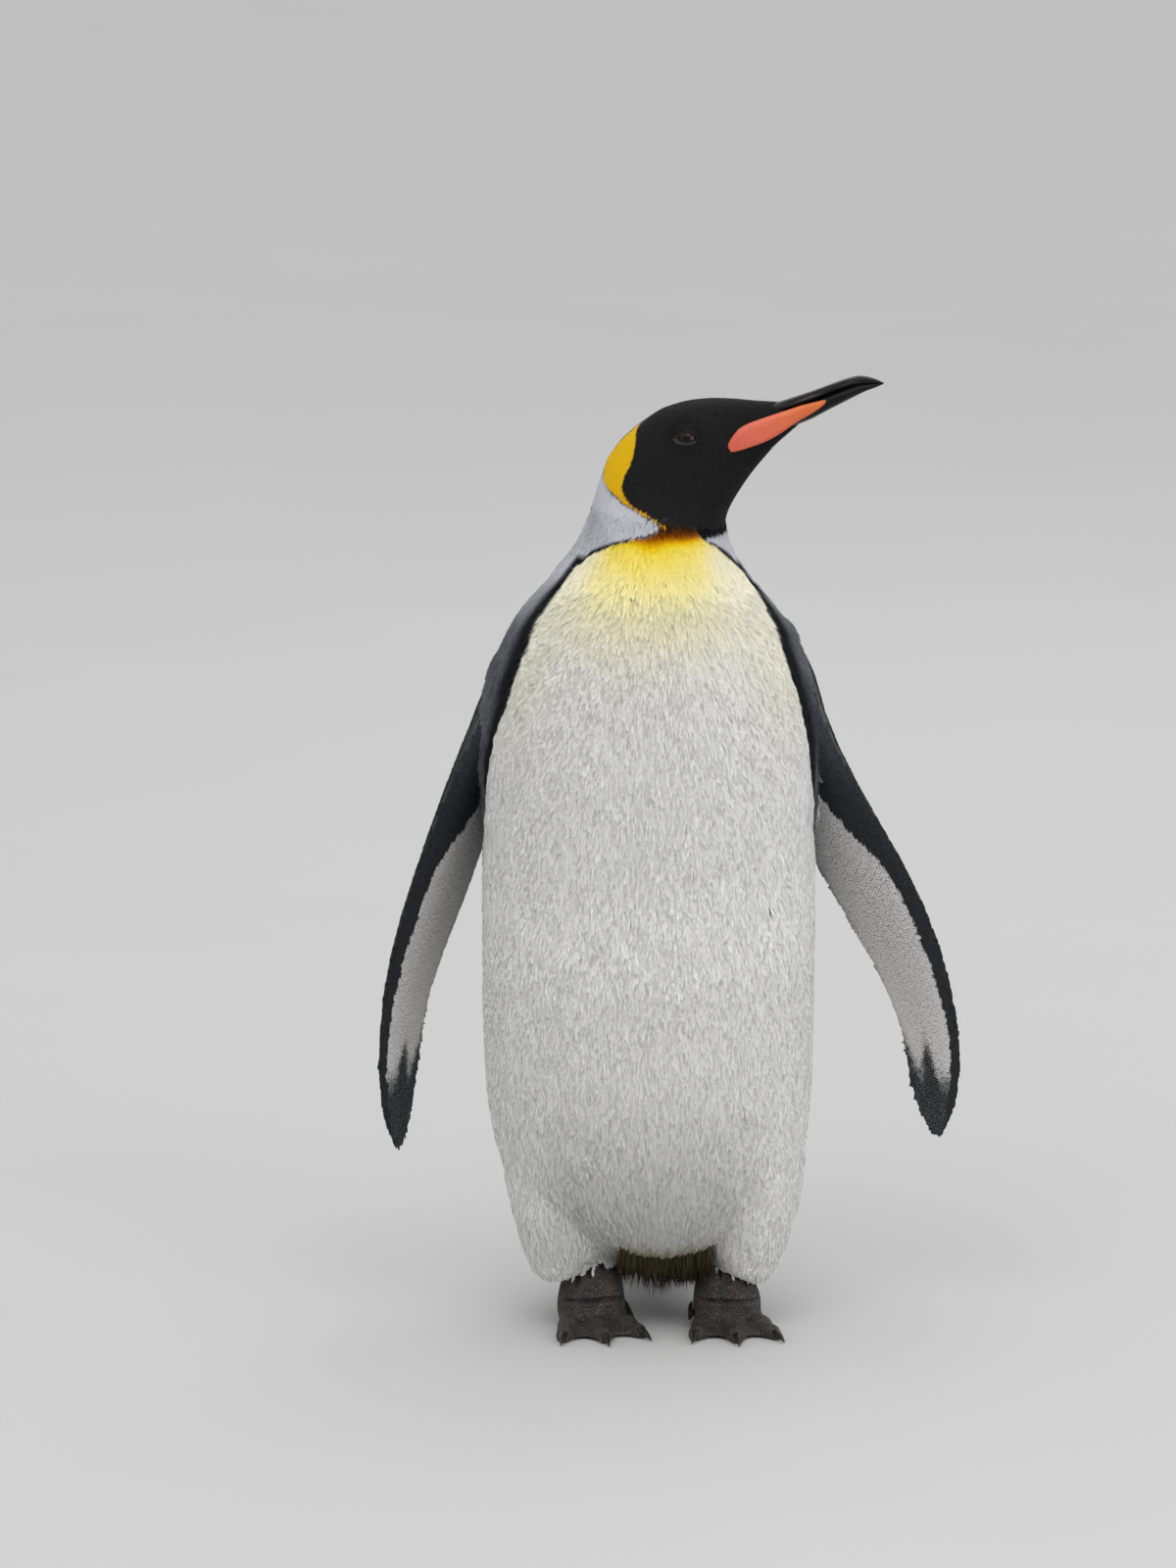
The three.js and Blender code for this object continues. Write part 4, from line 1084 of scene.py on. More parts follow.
class FeatherTree(NodeGraph):
    """The node tree that sets feathers over a surface, or at a mesh's own points, and lays them on the skin."""

    SOCKETS = {
        "Geometry": "Geometry", "Spacing": "Float", "Uneven": "Float", "Twist": "Float", "Loft": "Float",
        "Seed": "Int", "Feather": "Object", "Skin": "Object", "Finish": "Material",
    }

    def __init__(self, scattered: bool) -> None:
        """Builds the tree.

        Args:
            scattered: True to spread feathers over faces, False to set one at each vertex.
        """
        super().__init__(bpy.data.node_groups.new("feather_tree", "GeometryNodeTree"))
        face = self.tree.interface
        for name, kind in self.SOCKETS.items():
            face.new_socket(name=name, in_out="INPUT", socket_type=f"NodeSocket{kind}")
        face.new_socket(name="Geometry", in_out="OUTPUT", socket_type="NodeSocketGeometry")
        self.inputs = self.tree.nodes.new("NodeGroupInput").outputs
        self.build(scattered)

    def named(self, name: str, kind: str = "FLOAT_VECTOR") -> bpy.types.NodeSocket:
        """Reads a stored attribute."""
        return self.out("GeometryNodeInputNamedAttribute", {"Name": name}, data_type=kind)

    def chance(self, spread: object, offset: int, middle: float = 0.0) -> bpy.types.NodeSocket:
        """A random number within `spread` of a middle value."""
        low = self.maths("SUBTRACT", middle, spread)
        high = self.maths("ADD", middle, spread)
        seed = self.maths("ADD", self.inputs["Seed"], float(offset))
        return self.out("FunctionNodeRandomValue", {"Min": low, "Max": high, "Seed": seed})

    def keep(self, geometry: bpy.types.NodeSocket, name: str, value: object) -> bpy.types.NodeSocket:
        """Stores a vector on the geometry's points."""
        inputs = {"Geometry": geometry, "Name": name, "Value": value}
        return self.out("GeometryNodeStoreNamedAttribute", inputs, data_type="FLOAT_VECTOR", domain="POINT")

    def build(self, scattered: bool) -> None:
        """Lays the nodes from the surface to the finished feathers."""
        if scattered:
            crowd = self.maths("DIVIDE", 3.0, self.maths("POWER", self.inputs["Spacing"], 2.0))
            spread = self.node("GeometryNodeDistributePointsOnFaces", {
                "Mesh": self.inputs["Geometry"], "Distance Min": self.inputs["Spacing"], "Density Max": crowd,
                "Density Factor": self.named("clad", "FLOAT"), "Seed": self.inputs["Seed"],
            }, distribute_method="POISSON")
            points, normal = spread.outputs["Points"], spread.outputs["Normal"]
        else:
            points = self.out("GeometryNodeMeshToPoints", {"Mesh": self.inputs["Geometry"]})
            normal = self.named("up")
        points = self.keep(points, "root", self.out("GeometryNodeInputPosition"))
        points = self.keep(points, "up", normal)
        uneven = self.out("ShaderNodeCombineXYZ", {
            "X": self.chance(self.inputs["Uneven"], 4, 1.0), "Y": self.chance(self.inputs["Uneven"], 5, 1.0),
            "Z": self.chance(self.inputs["Loft"], 6, 1.0)})
        size = self.vector_maths("MULTIPLY", {0: self.named("size"), 1: uneven})
        points = self.keep(points, "size", size)
        placed = self.out("GeometryNodeInstanceOnPoints", {
            "Points": points, "Rotation": self.aim(), "Scale": self.named("size"),
            "Instance": self.shape_of(self.inputs["Feather"])})
        real = self.laid(self.out("GeometryNodeRealizeInstances", {"Geometry": placed}))
        dressed = self.out("GeometryNodeSetMaterial", {"Geometry": real, "Material": self.inputs["Finish"]})
        self.node("NodeGroupOutput", {"Geometry": dressed})

    def shape_of(self, thing: bpy.types.NodeSocket) -> bpy.types.NodeSocket:
        """An object's geometry."""
        return self.node("GeometryNodeObjectInfo", {"Object": thing}).outputs["Geometry"]

    def aim(self) -> bpy.types.NodeSocket:
        """Each feather's turn: up along the normal, its length along the lie, with a little chance."""
        axes = {"Primary Axis": self.named("up"), "Secondary Axis": self.named("lie")}
        aim = self.out("FunctionNodeAxesToRotation", axes, primary_axis="Z", secondary_axis="Y")
        stray = self.out("ShaderNodeCombineXYZ", {"Z": self.chance(self.inputs["Twist"], 3)})
        turn = self.out("FunctionNodeEulerToRotation", {"Euler": stray})
        both = {"Rotation": aim, "Rotate By": turn}
        return self.out("FunctionNodeRotateRotation", both, rotation_space="LOCAL")

    def laid(self, real: bpy.types.NodeSocket) -> bpy.types.NodeSocket:
        """Bends the feathers along the skin, each point at its own height above it."""
        skin = self.shape_of(self.inputs["Skin"])
        place = self.out("GeometryNodeInputPosition")
        nearest = "GeometryNodeSampleNearestSurface"
        below, outward = (
            self.out(nearest, {"Mesh": skin, "Value": value}, data_type="FLOAT_VECTOR")
            for value in (place, self.named("outward"))
        )
        vane, size = (self.split(self.named(name)) for name in ("vane", "size"))
        height = self.maths("MULTIPLY", vane["Z"], size["Z"])
        raised = self.vector_maths("SCALE", {0: outward, "Scale": height})
        goal = self.vector_maths("ADD", {0: below, 1: raised})
        inputs = {"Factor": self.named("cling", "FLOAT"), "A": place, "B": goal}
        there = self.out("ShaderNodeMix", inputs, data_type="VECTOR")
        return self.out("GeometryNodeSetPosition", {"Geometry": real, "Position": there})

    def grow(self, piece: bpy.types.Object, tract: Tract, skin: bpy.types.Object) -> int:
        """Runs the tree on a piece and keeps the plain mesh that it makes.

        Args:
            piece: carries the surface or the points, with `lie`, `size`, `cling` and `clad` or `up`.
            tract: the feathers' settings.
            skin: the surface that they lie along, with `outward`.

        Returns:
            How many vertices one feather has.
        """
        feather = new_object("feather", tract.vane.mesh())
        count = len(feather.data.vertices)
        modifier = piece.modifiers.new("feathers", "NODES")
        modifier.node_group = self.tree
        values = {
            "Spacing": tract.spacing * MM, "Uneven": tract.uneven, "Twist": tract.twist, "Loft": tract.loft,
            "Seed": tract.seed, "Feather": feather, "Skin": skin, "Finish": tract.finish.material(),
        }
        for item in self.tree.interface.items_tree:
            if item.in_out == "INPUT" and item.name in values:
                modifier[item.identifier] = values[item.name]
        settled(piece)
        bpy.data.objects.remove(feather)
        return count


@dataclass(frozen=True)
class Tract:
    """One piece of the coat: where it grows and what its feathers are like (spacing in mm)."""

    name: str
    node: str
    slot: str
    finish: PlumageFinish
    vane: Vane | Pebble
    spacing: float
    seed: int
    twist: float = 0.10
    loft: float = 0.03
    uneven: float = 0.14
    tone: float = 0.02
    waves: float = 0.5  # height of the coat's lengthwise ripples, in mm
    soft: float = 0.76  # how far the shading follows the coat rather than each vane
    shaded: bool = True  # whether dark feathers are darker towards the root


class Coat:
    """Grows the coat over the skin, tract by tract."""

    PATCH = 0.003  # width of one feather's patch on the coat's unwrap
    FARTHEST = 40.0 * MM  # a feather's point beyond this from its root is put back
    RIPPLES = 6.0 * MM  # distance between the coat's ripples
    RUN = ((0.0, 0.0), (0.30, 0.105), (0.50, 0.175), (0.62, 0.230), (0.80, 0.330))  # height, run along a ripple

    def __init__(self, skin: Skin, markings: Markings) -> None:
        """Keeps the skin and the markings that all tracts share."""
        self.skin = skin
        self.markings = markings
        self.scatter = FeatherTree(scattered=True)
        self.rows = FeatherTree(scattered=False)
        mesh = skin.piece.data.copy()
        give(mesh, "outward", skin.normals)
        self.base = new_object("coat_base", mesh)

    def grow(self, tract: Tract, clad: np.ndarray | None = None, **changes: np.ndarray) -> bpy.types.Object:
        """Grows one tract of scattered feathers.

        Args:
            tract: the feathers' settings.
            clad: share of cover at each vertex of the skin; the tract's own when None.
            changes: other values for lie, size or cling.

        Returns:
            The finished piece.
        """
        skin = self.skin
        mesh = skin.piece.data.copy()
        give(mesh, "clad", skin.cover(tract.node) if clad is None else clad)
        for name in ("lie", "size", "cling"):
            give(mesh, name, changes.get(name, getattr(skin, name)))
        piece = new_object(tract.name, mesh)
        count = self.scatter.grow(piece, tract, self.base)
        self.mark(piece.data, tract, count)
        return set_out(piece, tract.slot)

    def plant(self, name: str, roots: np.ndarray, **values: np.ndarray) -> bpy.types.Object:
        """A piece of loose roots, with values for each, that a feather is to be set on."""
        mesh = bpy.data.meshes.new(name)
        mesh.from_pydata(roots.tolist(), [], [])
        for key, value in values.items():
            give(mesh, key, value)
        give(mesh, "cling", np.zeros(len(roots)))
        return new_object(name, mesh)

    def grow_rows(self, tract: Tract, side: str, pitch: float = 2.7, gap: float = 2.1) -> bpy.types.Object:
        """Grows a flipper's small feathers in slanting rows on both faces.

        Args:
            tract: the feathers' settings.
            side: "right" or "left".
            pitch: distance between rows, in mm.
            gap: distance between feathers along a row, in mm.

        Returns:
            The finished piece.
        """
        skin, flipper = self.skin, self.skin.flippers[side]
        faces = triangles_of(skin.piece.data)
        faces = faces[(skin.labels[faces] == f"flipper_{side}").all(1)]
        tree = BVHTree.FromPolygons(skin.points.tolist(), faces.tolist())
        width = (flipper.lead - flipper.trail).max()
        columns = int(width / (gap * MM))
        share = (np.arange(columns) + 0.5) / columns
        share = share - 0.045 * np.sin(2.0 * math.pi * share)
        slant = share * width * 0.45
        roots = np.arange(flipper.levels[0] - width * 0.5, flipper.levels[-1] + width * 0.5, pitch * MM)
        height = (roots[:, None] - slant + 0.5 * pitch * MM * (np.arange(columns) % 2)).ravel()
        across = np.tile(share, len(roots))
        inside = (height > flipper.levels[0]) & (height < flipper.levels[-1] - 2.0 * MM) & (across < 0.955)
        height, across = height[inside], across[inside]
        middles = flipper.place(height, across)
        found = []
        for face in (flipper.face, -flipper.face):
            for middle, share_here in zip(middles, across):
                place, normal, _, _ = tree.ray_cast(Vector(middle + face * 0.06), Vector(-face))
                if place is not None and normal.dot(Vector(face)) > -0.2:
                    found.append((*place, *(normal + Vector(face) * 0.6).normalized(), share_here))
        found = np.array(found)
        up, share = found[:, 2], found[:, 6]
        lie = (flipper.place(up - 5.0 * MM, share) - flipper.place(up + 5.0 * MM, share)) / (10.0 * MM)
        lie -= flipper.chord * (0.10 - 0.16 * smoothstep(0.7, 0.95, share))[:, None]
        narrow = (flipper.at(flipper.lead, up) - flipper.at(flipper.trail, up)) / width
        thick = 0.2 + 0.7 * smoothstep(0.0, 0.1, share) * smoothstep(1.0, 0.9, share)
        brief = 1.0 - 0.4 * smoothstep(0.82, 0.95, share)
        size = np.stack([2.7 * (0.35 + 0.65 * narrow), 5.2 * brief, thick], axis=1)
        piece = self.plant(tract.name, found[:, :3], up=found[:, 3:6], lie=lie, size=size * MM)
        count = self.rows.grow(piece, tract, self.base)
        self.mark(piece.data, tract, count, side)
        return set_out(piece, tract.slot)

    def mark(self, mesh: bpy.types.Mesh, tract: Tract, count: int, side: str = "") -> None:
        """Ripples the coat, colours each feather and gives it its patch of the unwrap."""
        points = points_of(mesh)
        roots, ups, vane = (stored(mesh, name) for name in ("root", "up", "vane"))
        stray = np.linalg.norm(points - roots, axis=1) > self.FARTHEST
        points[stray] = roots[stray]
        level = ups
        if tract.waves:
            level = self.rippled(points, ups, tract.waves * MM)
            points += ups * (self.wave(points) * np.clip(vane[:, 2], 0.0, 1.0) * tract.waves * MM)[:, None]
        move(mesh, points)
        mesh.shade_smooth()
        facing = unit(normals_of(mesh) * (1.0 - tract.soft) + level * tract.soft)
        mesh.normals_split_custom_set_from_vertices(facing.tolist())
        rng = np.random.default_rng(tract.seed)
        feathers = len(points) // count
        chance = np.repeat(rng.normal(0.0, 1.0, (feathers, 1)), count, axis=0)
        if side:
            flipper = self.skin.flippers[side]
            pale = flipper.pale(roots[::count], ups[::count])
            pale = pale + rng.normal(0.0, 0.3, feathers) * pale * (1.0 - np.clip(pale, 0.0, 1.0))
            share = np.repeat(pale, count) * 1.9 - 0.5 * np.abs(vane[:, 0]) - 0.4 * (1.0 - vane[:, 1])
            colours = flipper.tinted(share, points)
        else:
            labels = np.repeat(self.skin.name_at(roots[::count]), count)
            colours = self.markings.colours(points, ups, labels, self.skin.flippers)
        light = smoothstep(0.06, 0.30, colours.mean(1))[:, None]
        colours = colours * (1.0 + chance * (tract.tone + 0.05 * (1.0 - light)))
        if not side and tract.shaded:
            colours = colours * mix(0.3 + 1.05 * vane[:, 1:2] ** 1.5, 1.0, light[:, 0])
        give_colour(mesh, colours)
        self.unwrap(mesh, roots, vane)

    def wave(self, points: np.ndarray) -> np.ndarray:
        """Lengthwise ripples that follow the body down, about 6 mm apart."""
        around, _ = self.skin.marks.trunk_angles(points)
        run = np.interp(points[:, 2], *zip(*self.RUN))
        flat = np.stack([np.radians(around) * 0.115, run, points[:, 1] * 0.1], axis=1)
        flat[:, 0] += 2.2 * MM * ripple(points, 32.0 * MM, 51)
        return ripple(flat, self.RIPPLES, 52) * (0.3 + 0.7 * smoothstep(125.0, 85.0, np.abs(around)))

    def rippled(self, points: np.ndarray, ups: np.ndarray, height: float) -> np.ndarray:
        """The rippled coat's own normals."""
        first = unit(np.cross(ups, np.array([0.3, 0.2, 0.9])))
        second = np.cross(ups, first)
        step = 0.6 * MM
        here = self.wave(points)
        slopes = [(self.wave(points + way * step) - here)[:, None] * height / step for way in (first, second)]
        return unit(ups - first * slopes[0] - second * slopes[1])

    def unwrap(self, mesh: bpy.types.Mesh, roots: np.ndarray, vane: np.ndarray) -> None:
        """Unrolls the skin about the tract's own axis and sets each feather's patch at its root."""
        middle = roots.mean(0)
        angle = np.arctan2(roots[:, 0] - middle[0], roots[:, 1] - middle[1]) / (2.0 * math.pi) + 0.5
        low, high = roots[:, 2].min(), roots[:, 2].max()
        home = 0.01 + 0.98 * np.stack([angle, (roots[:, 2] - low) / (high - low)], axis=1)
        places = home + np.stack([vane[:, 0] * 0.5, vane[:, 1] - 0.5], axis=1) * self.PATCH
        corners = fetch(mesh.loops, "vertex_index", 1, np.int32)[:, 0]
        chart = mesh.uv_layers.new(name="OFBake")
        chart.uv.foreach_set("vector", places[corners].astype(np.float32).ravel())

    def fringe(self, tract: Tract, strands: int = 2800) -> bpy.types.Object:
        """Hangs the hair-like feathers below the vent.

        Args:
            tract: the feathers' settings.
            strands: how many there are.

        Returns:
            The finished piece.
        """
        skin = self.skin
        offset = (skin.points - skin.marks.origin) / MM
        sideways = Vent.sideways(offset)
        clad = (np.abs(sideways) < 0.95) & (offset[:, 1] > -86.0) & (offset[:, 1] < 25.0)
        clad &= (offset[:, 2] < 67.0 + Vent.BOW * sideways**2) & np.isin(skin.labels, ("belly", "rump"))
        clad &= skin.normals[:, 2] < 0.2
        rng = np.random.default_rng(tract.seed)
        picked = rng.choice(np.flatnonzero(clad), strands)
        sideways = sideways[picked]
        bow = np.sqrt(1.0 - np.clip(sideways, -1.0, 1.0) ** 2)
        drop = np.maximum(offset[picked, 2] - 30.0 - 28.0 * (1.0 - bow), 7.0) * rng.uniform(0.35, 0.98, strands)
        sway = rng.normal(0.0, 0.06, (strands, 2))
        one = np.ones(strands)
        lie = np.stack([0.10 * sideways + sway[:, 0], sway[:, 1] - 0.05, -one], axis=1)
        size = np.stack([0.8 * one, drop, 0.6 * one], axis=1) * MM
        spots = skin.points[picked] + rng.normal(0.0, 1.2 * MM, (strands, 3))
        ahead = np.tile(np.array([0.0, -1.0, 0.0]), (strands, 1))
        piece = self.plant(tract.name, spots, up=ahead, lie=lie, size=size)
        count = self.rows.grow(piece, tract, self.base)
        mesh = piece.data
        vane, roots = stored(mesh, "vane"), stored(mesh, "root")
        tone = np.repeat(rng.normal(1.0, 0.18, (strands, 1)), count, axis=0)
        height = points_of(mesh)[:, 2] / MM - np.repeat(Vent.BOW * sideways**2, count)
        colours = mix(Hue.VENT * 0.35, Hue.VENT * 1.1, smoothstep(38.0, 60.0, height))
        give_colour(mesh, colours * tone)
        self.unwrap(mesh, roots, vane)
        return set_out(piece, tract.slot)

    def scales(self, tract: Tract) -> bpy.types.Object:
        """Sets the pebbled scales over the feet, leaving the soles and the ankle folds bare."""
        skin = self.skin
        height = skin.points[:, 2] / MM
        clad = skin.by_label(dict.fromkeys(FOOT_PARTS, 1.0), 0.0)
        clad *= (height > 2.0) & (skin.normals[:, 2] > -0.5)
        clad *= 1.0 - np.exp(-((height - skin.ANKLE) / 1.6) ** 2) * (skin.normals[:, 1] < -0.2)
        toes = smoothstep(24.0, 14.0, height)
        size = np.stack([2.4 + 0.9 * toes, 2.2 + 0.4 * toes, np.full(len(toes), 0.5)], axis=1) * MM
        return self.grow(tract, (clad > 0.5).astype(float), size=size)

    def clear(self) -> None:
        """Removes the working copy of the skin."""
        bpy.data.objects.remove(self.base)


@dataclass
class Tail:
    """The stiff quills over the tail, in an upper and a lower layer."""

    coat: Coat
    rows: int = 18
    lean: float = 24.0
    stations: tuple = (  # back, up, half the width and half the thickness, in mm
        (62, 128, 38, 16), (83, 100, 46, 17), (101, 73, 48, 14.5), (116, 48, 45, 11),
        (130, 25, 40, 8), (141, 6, 34, 6), (147, -8, 28, 5),
    )

    def quill(self, share: float, side: float, end: float) -> tuple[np.ndarray, np.ndarray]:
        """The points of one quill and their place on its vane.

        Args:
            share: place across the tail, from -1 to 1.
            side: 1 for the upper layer, -1 for the lower.
            end: how far down the tail it reaches, from 0 to 1.
        """
        table = np.array(self.stations, dtype=float)
        lean = math.radians(self.lean)
        outward = np.array([0.0, math.cos(lean), math.sin(lean)]) * side
        origin = self.coat.skin.marks.origin
        points, vane = [], []
        for row in range(self.rows):
            length = row / (self.rows - 1)
            back, up, half, thick = along(table, 0.10 + (end - 0.10) * length)
            reach = 5.4 * min(1.0, 0.45 + 2.0 * length) * max(0.0, 1.0 - length**7) ** 0.5
            for across in (-1.0, -0.5, 0.0, 0.5, 1.0):
                sideways = share * half * 0.90 + across * reach
                ridge = 0.7 * (1.0 - abs(across)) ** 3 - 0.5 * across**2 + 0.8 * across * side
                sunk = 9.0 * max(0.0, 1.0 - length / 0.40) ** 2
                level = thick * (1.0 - 0.75 * abs(share) ** 2.5) - 1.4 + ridge - sunk
                points.append(origin + (np.array([sideways, back, up]) + outward * level) * MM)
                vane.append((across, length, 0.5))
        return np.array(points), np.array(vane)

    def build(self, finish: PlumageFinish) -> None:
        """Joins all quills in one piece."""
        rng = np.random.default_rng(77)
        points, vane, roots, faces = [], [], [], []
        for side, number, end in ((1.0, 15, 0.885), (-1.0, 13, 0.86)):
            for share in np.linspace(-1.0, 1.0, number):
                spots, places = self.quill(share, side, end - 0.05 * abs(share) ** 2 - rng.uniform(0.0, 0.03))
                start = len(points) * self.rows * 5
                for row in range(self.rows - 1):
                    for column in range(4):
                        a = start + row * 5 + column
                        faces.append((a, a + 1, a + 6, a + 5) if side < 0 else (a, a + 5, a + 6, a + 1))
                points.append(spots)
                vane.append(places)
                roots.append(np.tile(spots[2], (len(spots), 1)))
        shades = np.repeat(rng.normal(1.0, 0.15, len(points)), self.rows * 5)[:, None]
        points, vane, roots = (np.concatenate(rows) for rows in (points, vane, roots))
        mesh = mesh_from("tail_quills", points, np.array(faces))
        give(mesh, "vane", vane)
        base = mix(Hue.RUMP, Hue.TAIL, smoothstep(0.12, 0.5, vane[:, 1]))
        give_colour(mesh, base * shades * (1.0 + 0.5 * np.abs(vane[:, :1]) ** 4))
        self.coat.unwrap(mesh, roots, vane)
        piece = new_object("tail_quills", mesh)
        mesh.materials.append(finish.material())
        set_out(piece, "tail_plumage")


# ---- Horn, plates, eyes ----
def loft(name: str, rings: np.ndarray, vane: np.ndarray) -> bpy.types.Mesh:
    """A closed mesh through rings of points, with fans over both ends.

    Args:
        name: the mesh's name.
        rings: places, by ring and by side.
        vane: a vector to store at each place.

    Returns:
        The mesh, its faces pointing outwards.
    """
    count, sides = rings.shape[:2]
    a = np.arange((count - 1) * sides).reshape(count - 1, sides)
    b = a - a % sides + (a + 1) % sides
    quads = np.stack([a, b, b + sides, a + sides], axis=-1).reshape(-1, 4)
    mesh = bpy.data.meshes.new(name)
    points = np.concatenate([rings.reshape(-1, 3), rings[[0, -1]].mean(1)])
    total, last = count * sides, (count - 1) * sides
    fans = [(total, (k + 1) % sides, k) for k in range(sides)]
    fans += [(total + 1, last + k, last + (k + 1) % sides) for k in range(sides)]
    mesh.from_pydata(points.tolist(), [], quads.tolist() + fans)
    give(mesh, "vane", np.concatenate([vane.reshape(-1, 3), vane[[0, -1]].mean(1)]))
    grid = bmesh.new()
    grid.from_mesh(mesh)
    bmesh.ops.recalc_face_normals(grid, faces=grid.faces[:])
    grid.to_mesh(mesh)
    grid.free()
    mesh.shade_smooth()
    return mesh


@dataclass
class Beak:
    """Both halves of the horn beak, with the groove along the upper one."""

    marks: Landmarks
    sides: int = 40
    rings: int = 72
    gape: float = -0.3
    groove_depth: float = 0.16
    stations: tuple = (  # ridge, edge and keel as (forward, height), and half the width, in mm
        (95, 778, 99, 768, 106, 757.5, 12.0), (107, 782, 113, 774.8, 120, 762.8, 10.6),
        (120, 786.6, 125, 780, 131, 767.8, 9.2), (133, 791.4, 137.5, 785, 143, 774.6, 7.9),
        (146, 796.6, 150, 790.2, 155, 781, 6.7), (158.5, 801.4, 162, 794.6, 166, 786.8, 5.5),
        (170, 803.9, 172.5, 797, 175, 791.4, 4.4), (180.5, 802.4, 181.8, 797.9, 183, 794.6, 3.0),
        (189.6, 799.0, 189.8, 798.0, 188.4, 797.2, 1.0),
    )

    def half(self, upper: bool) -> bpy.types.Mesh:
        """One half of the beak, from inside the face to the tip."""
        table = np.array(self.stations, dtype=float)
        angles = np.linspace(0.0, 2.0 * math.pi, self.sides, endpoint=False)
        across, lengthwise = np.sin(angles), np.cos(angles)
        squared = np.sign(across) * np.abs(across) ** 0.86, np.sign(lengthwise) * np.abs(lengthwise) ** 0.86
        places, vane = [], []
        for ring in range(self.rings):
            t = ring / (self.rings - 1)
            ridge_h, ridge_z, edge_h, edge_z, keel_h, keel_z, half = along(table, t)
            edge = np.array([edge_h, edge_z + self.gape / 2.0 * (1.0 if upper else -1.0)])
            far = np.array([ridge_h, ridge_z]) if upper else np.array([keel_h, keel_z])
            centre, reach = (edge + far) / 2.0, (far - edge) / 2.0
            place = centre + np.outer(squared[1], reach)
            grooved = float(smoothstep(0.05, 0.15, t) * smoothstep(0.82, 0.55, t)) * upper
            groove = self.groove_depth * np.exp(-((lengthwise - 0.4) / 0.16) ** 2) * grooved
            side = squared[0] * half * (1.0 - groove)
            places.append([self.marks.head_place(h, s, z) for (h, z), s in zip(place, side)])
            # where the grey goes: the flaky ridge above the groove, scuffs with a painted highlight, and a
            # painted highlight along the band below it
            ridge = np.exp(-((lengthwise - 0.85) / 0.22) ** 2)
            ridge = ridge + 0.8 * np.exp(-((lengthwise - 0.05) / 0.16) ** 2)
            scuffs_and_highlights = math.exp(-((t - 0.45) / 0.27) ** 4) * ridge * (1.0 if upper else 0.25)
            vane.append(np.stack([angles / 6.283, np.full(self.sides, t), scuffs_and_highlights + 0.02], axis=1))
        return loft("upper_horn" if upper else "lower_horn", np.array(places), np.array(vane))

    def build(self) -> None:
        """Makes and dresses both halves."""
        finish = HornFinish("beak_horn").material()
        for upper, node in ((True, "upper_beak"), (False, "lower_beak")):
            piece = new_object(f"{node}_horn", self.half(upper))
            piece.data.materials.append(finish)
            set_out(piece, "beak_horn", node)


@dataclass
class BeakPlates:
    """The coral plates, rounded from the construction's own plates, with their edges drawn further (in mm)."""

    rise: tuple = (  # place along the plate, and how far its upper edge is raised
        (0.0, -0.6), (0.06, 1.6), (0.14, 3.8), (0.25, 4.4), (0.45, 3.9), (0.7, 2.8), (0.86, 0.4), (1.0, -1.2),
    )
    lift: float = 2.6
    drop: float = 1.9
    back: float = 3.6

    def build(self) -> None:
        """Makes both plates."""
        finish = PlateFinish().material()
        for side in SIDES:
            piece = smooth_copy(f"beak_plate_{side}", f"plate_{side}", 3)
            mesh = piece.data
            points = points_of(mesh)
            middle = points.mean(0)
            axes = np.linalg.svd(points - middle, full_matrices=False)[2]
            if axes[0][0] < 0:
                axes[0] = -axes[0]
            run = (points - middle) @ axes[0]
            high = (points - middle) @ axes[1]
            share = (run - run.min()) / (run.max() - run.min())
            levels = np.linspace(0, 1, 24)
            reaches = [np.abs(high[np.abs(share - level) < 0.03]).max() for level in levels]
            reach = np.interp(share, levels, reaches)
            edge = np.abs(high) / np.maximum(reach, 1e-6)
            give(mesh, "vane", np.stack([edge, share, np.zeros(len(share))], axis=1))
            upward = axes[1] * (1.0 if axes[1][2] > 0 else -1.0)
            low = smoothstep(0.1, -0.7, (points - middle) @ upward / np.maximum(reach, 1e-6))
            lift = self.lift * np.exp(-(((share - 0.62) / 0.2) ** 2)) * low
            lift = lift - self.drop * smoothstep(0.2, 0.0, share)
            lift += np.interp(share, *zip(*self.rise)) * (1.0 - low)
            back = self.back * smoothstep(0.13, 0.0, share) * low
            move(mesh, points + (np.outer(lift, upward) - np.outer(back, axes[0])) * MM)
            mesh.materials.append(finish)
            set_out(piece, "beak_plate", f"beak_plate_{side}")


def smooth_copy(node: str, name: str, levels: int) -> bpy.types.Object:
    """A rounded copy of a construction node's solid."""
    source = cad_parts[node].data
    grid = bmesh.new()
    grid.from_mesh(source)
    bmesh.ops.remove_doubles(grid, verts=grid.verts[:], dist=1e-6)
    bmesh.ops.join_triangles(grid, faces=grid.faces[:], angle_face_threshold=0.9, angle_shape_threshold=1.2)
    mesh = bpy.data.meshes.new(name)
    grid.to_mesh(mesh)
    grid.free()
    mesh.shade_smooth()
    piece = new_object(name, mesh)
    rounding = piece.modifiers.new("round", "SUBSURF")
    rounding.levels = rounding.render_levels = levels
    return settled(piece)


